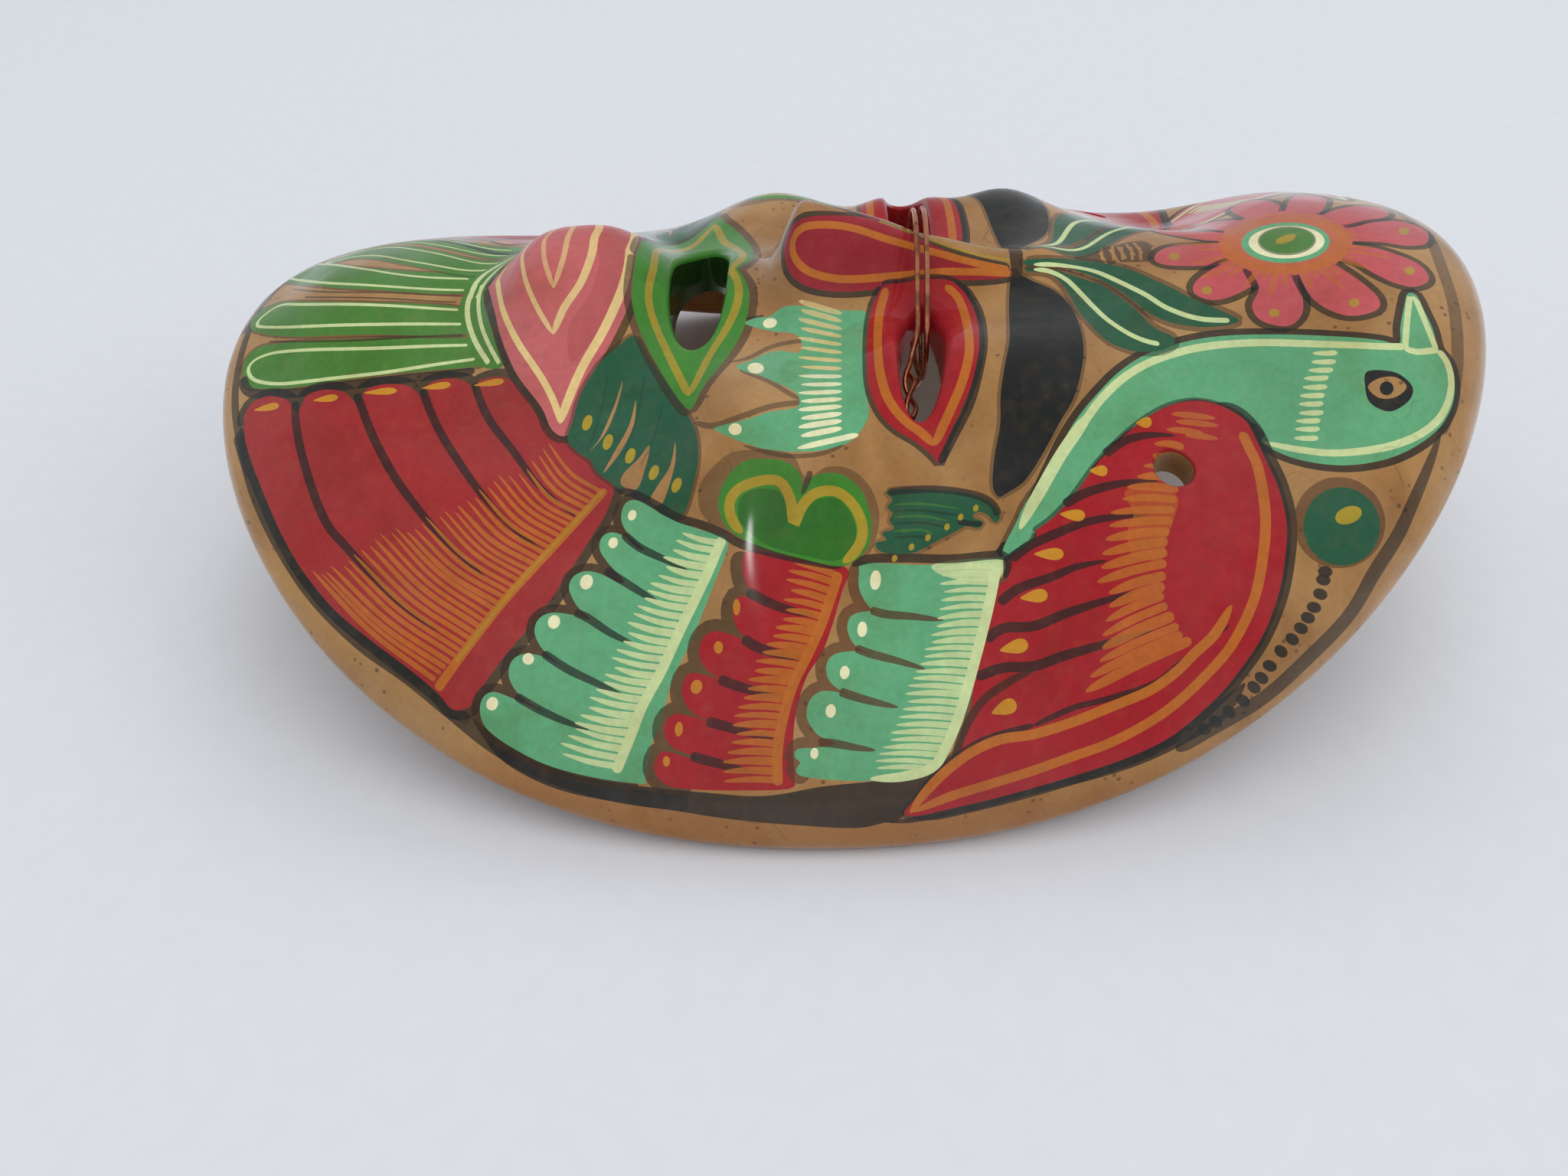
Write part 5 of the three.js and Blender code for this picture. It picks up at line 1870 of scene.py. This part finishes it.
@dataclass
class BridgeWire:
    """Copper wire wound twice over the bridge of the nose, with its ends twisted in one eye slot.

    The places are in millimetres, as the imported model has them.
    """

    radius: float = 0.36
    ring: int = 6
    tail_from: tuple[float, float, float] = (26.6, 9.7, 37.2)
    tail_to: tuple[float, float, float] = (18.8, 9.5, 40.2)
    twist_radius: float = 0.62
    twist_points: int = 17
    steps: int = 7

    def tail(self, strand: int) -> list[np.ndarray]:
        """Places of one strand of the twisted tail, from its free end."""
        start, end = np.array(self.tail_from), np.array(self.tail_to)
        along = (end - start) / np.linalg.norm(end - start)
        side = np.cross([0.0, 1.0, 0.0], along)
        side /= np.linalg.norm(side)
        up = np.cross(along, side)
        places = []
        for share in np.linspace(0, 1, self.twist_points):
            turn = TURN * share + strand * math.pi
            ring = self.twist_radius * (math.cos(turn) * side + math.sin(turn) * up)
            places.append(start + (end - start) * share + ring)
        return places

    def over_nose(self, y: float, lift: float) -> list[tuple]:
        """Places of one turn over the ridge of the nose."""
        heights = ((14.6, 43.4), (11.4, 47.0), (8.0, 49.8), (4.4, 51.8 + lift), (0, 52.6 + lift))
        near = [(x, y, z) for x, z in heights]
        far = [(-x, y, z) for x, z in reversed(heights[1:-1])]
        return [*near, *far, (-14.4, y, 43.4)]

    def route(self) -> np.ndarray:
        """Places along the whole wire."""
        first_under = [(-15.0, 10.8, 39.4), (-13.2, 10.9, 35.6), (-8.4, 11.0, 33.6), (0, 11.2, 33.2),
                       (8.4, 11.5, 33.6), (13.4, 11.8, 35.4), (15.2, 12.0, 39.2)]
        second_under = [(-15.0, 12.1, 39.4), (-13.2, 12.2, 35.2), (-8.4, 12.5, 32.6), (0, 12.6, 31.8),
                        (8.4, 11.8, 31.6), (13.6, 10.5, 33.8), (17.0, 9.7, 37.8)]
        points = [*self.tail(0), (16.4, 10.0, 41.0), *self.over_nose(10.7, 0), *first_under,
                  *self.over_nose(12.0, 0.3), *second_under, *reversed(self.tail(1))]
        return np.array([tuple(p) for p in points])

    def build(self) -> bpy.types.Object:
        """Build the wire as a curve with a round section, and make it a closed mesh."""
        bpy.ops.object.select_all(action="DESELECT")
        bpy.ops.curve.primitive_bezier_curve_add()
        wire = bpy.context.object
        wire.name = "wound_wire"
        curve = wire.data
        curve.splines.clear()
        line = centripetal(self.route(), self.steps) * MM
        spline = curve.splines.new("POLY")
        spline.points.add(len(line) - 1)
        spline.points.foreach_set("co", np.column_stack([line, np.ones(len(line))]).ravel())
        curve.dimensions = "3D"
        curve.bevel_depth = self.radius * MM
        curve.bevel_resolution = self.ring
        curve.use_fill_caps = True
        bpy.ops.object.convert(target="MESH")
        bpy.ops.object.mode_set(mode="EDIT")
        bpy.ops.mesh.select_all(action="SELECT")
        bpy.ops.mesh.remove_doubles(threshold=1e-6)
        bpy.ops.mesh.normals_make_consistent(inside=False)
        bpy.ops.object.mode_set(mode="OBJECT")
        bpy.ops.object.shade_smooth_by_angle(angle=math.radians(50))
        return wire


def centripetal(points: np.ndarray, steps: int) -> np.ndarray:
    """Places along a centripetal Catmull-Rom curve through points, with the given steps between two."""
    ends = np.concatenate([[2 * points[0] - points[1]], points, [2 * points[-1] - points[-2]]])
    places = [points[:1]]
    for a, b, c, d in zip(ends, ends[1:], ends[2:], ends[3:]):
        t1 = np.sqrt(np.linalg.norm(b - a))
        t2 = t1 + np.sqrt(np.linalg.norm(c - b))
        t3 = t2 + np.sqrt(np.linalg.norm(d - c))
        t = (t1 + (t2 - t1) * (np.arange(steps) + 1) / steps)[:, None]
        ab = (t1 - t) / t1 * a + t / t1 * b
        bc = (t2 - t) / (t2 - t1) * b + (t - t1) / (t2 - t1) * c
        cd = (t3 - t) / (t3 - t2) * c + (t - t2) / (t3 - t2) * d
        abc = (t2 - t) / t2 * ab + t / t2 * bc
        bcd = (t3 - t) / (t3 - t1) * bc + (t - t1) / (t3 - t1) * cd
        places.append((t2 - t) / (t2 - t1) * abc + (t - t1) / (t2 - t1) * bcd)
    return np.concatenate(places)


@dataclass(frozen=True)
class Lamp:
    """A soft round light: where it stands and looks, in metres, its width, power and colour."""

    name: str
    place: tuple[float, float, float]
    aim: tuple[float, float, float]
    width: float
    power: float
    colour: Colour
    in_reflections: bool = True

    def build(self) -> None:
        """Set up the light."""
        bpy.ops.object.light_add(type="AREA", location=self.place)
        lamp = bpy.context.object
        lamp.name = self.name
        lamp.data.shape = "DISK"
        lamp.data.size = self.width
        lamp.data.energy = self.power
        lamp.data.color = self.colour
        lamp.visible_glossy = self.in_reflections
        looking = Vector(self.aim) - Vector(self.place)
        lamp.rotation_euler = looking.to_track_quat("-Z", "Y").to_euler()


@dataclass
class Studio:
    """The white sheet, the daylight and the lamps."""

    floor_side: float = 3.0
    floor_drop: float = 0.00003
    sky: Colour = (0.92, 0.95, 1.0)
    sky_strength: float = 0.56
    lamps: tuple[Lamp, ...] = (
        Lamp("soft_key", (0.45, 0.02, 1.90), (0, 0, 0.02), 2.0, 11.2, (1.0, 0.99, 0.98), False),
        Lamp("near_window", (1.13, -0.24, 1.64), (0, 0, 0.02), 0.09, 0.9, (1.0, 0.99, 0.98)),
        Lamp("far_window", (-0.95, 0.15, 1.25), (-0.1, 0, 0), 0.9, 3.2, (0.93, 0.97, 1.0), False),
        Lamp("right_fill", (0.55, 1.25, 0.95), (0, 0.1, 0), 1.0, 3.0, (1.0, 0.99, 0.98), False),
    )

    def build(self) -> bpy.types.Object:
        """Set up the studio and return the sheet."""
        scene = bpy.context.scene
        scene.view_settings.view_transform = "Standard"
        world = bpy.data.worlds.new("soft_daylight")
        world.use_nodes = True
        background = world.node_tree.nodes["Background"]
        background.inputs["Color"].default_value = opaque(self.sky)
        background.inputs["Strength"].default_value = self.sky_strength
        scene.world = world
        for lamp in self.lamps:
            lamp.build()
        bpy.ops.object.select_all(action="DESELECT")
        bpy.ops.mesh.primitive_plane_add(size=self.floor_side, location=(0, 0, -self.floor_drop))
        sheet = bpy.context.object
        sheet.name = "white_sheet"
        bpy.ops.object.transform_apply(location=True)
        return sheet


def dress(piece: bpy.types.Object, material: bpy.types.Material) -> None:
    """Give a piece its material."""
    piece.data.materials.clear()
    piece.data.materials.append(material)


def main() -> None:
    """Build the mask, its wire and the studio."""
    logging.basicConfig(level=logging.INFO, format="%(name)s: %(message)s")
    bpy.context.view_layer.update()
    camera = PhotoCamera()
    camera.build()
    sheet = Studio().build()
    dress(sheet, WhitePaper().material())

    wire = BridgeWire().build()
    dress(wire, BareCopper().material())
    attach(wire, "root")
    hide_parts("bridge_wire")
    LOG.info("wound_wire: %d faces", len(wire.data.polygons))

    shell = MaskShell(FaceForm(), camera).build()
    dress(shell, PaintedClay().material())
    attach(shell, "root")
    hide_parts("mask_shell")


if __name__ == "__main__":
    main()
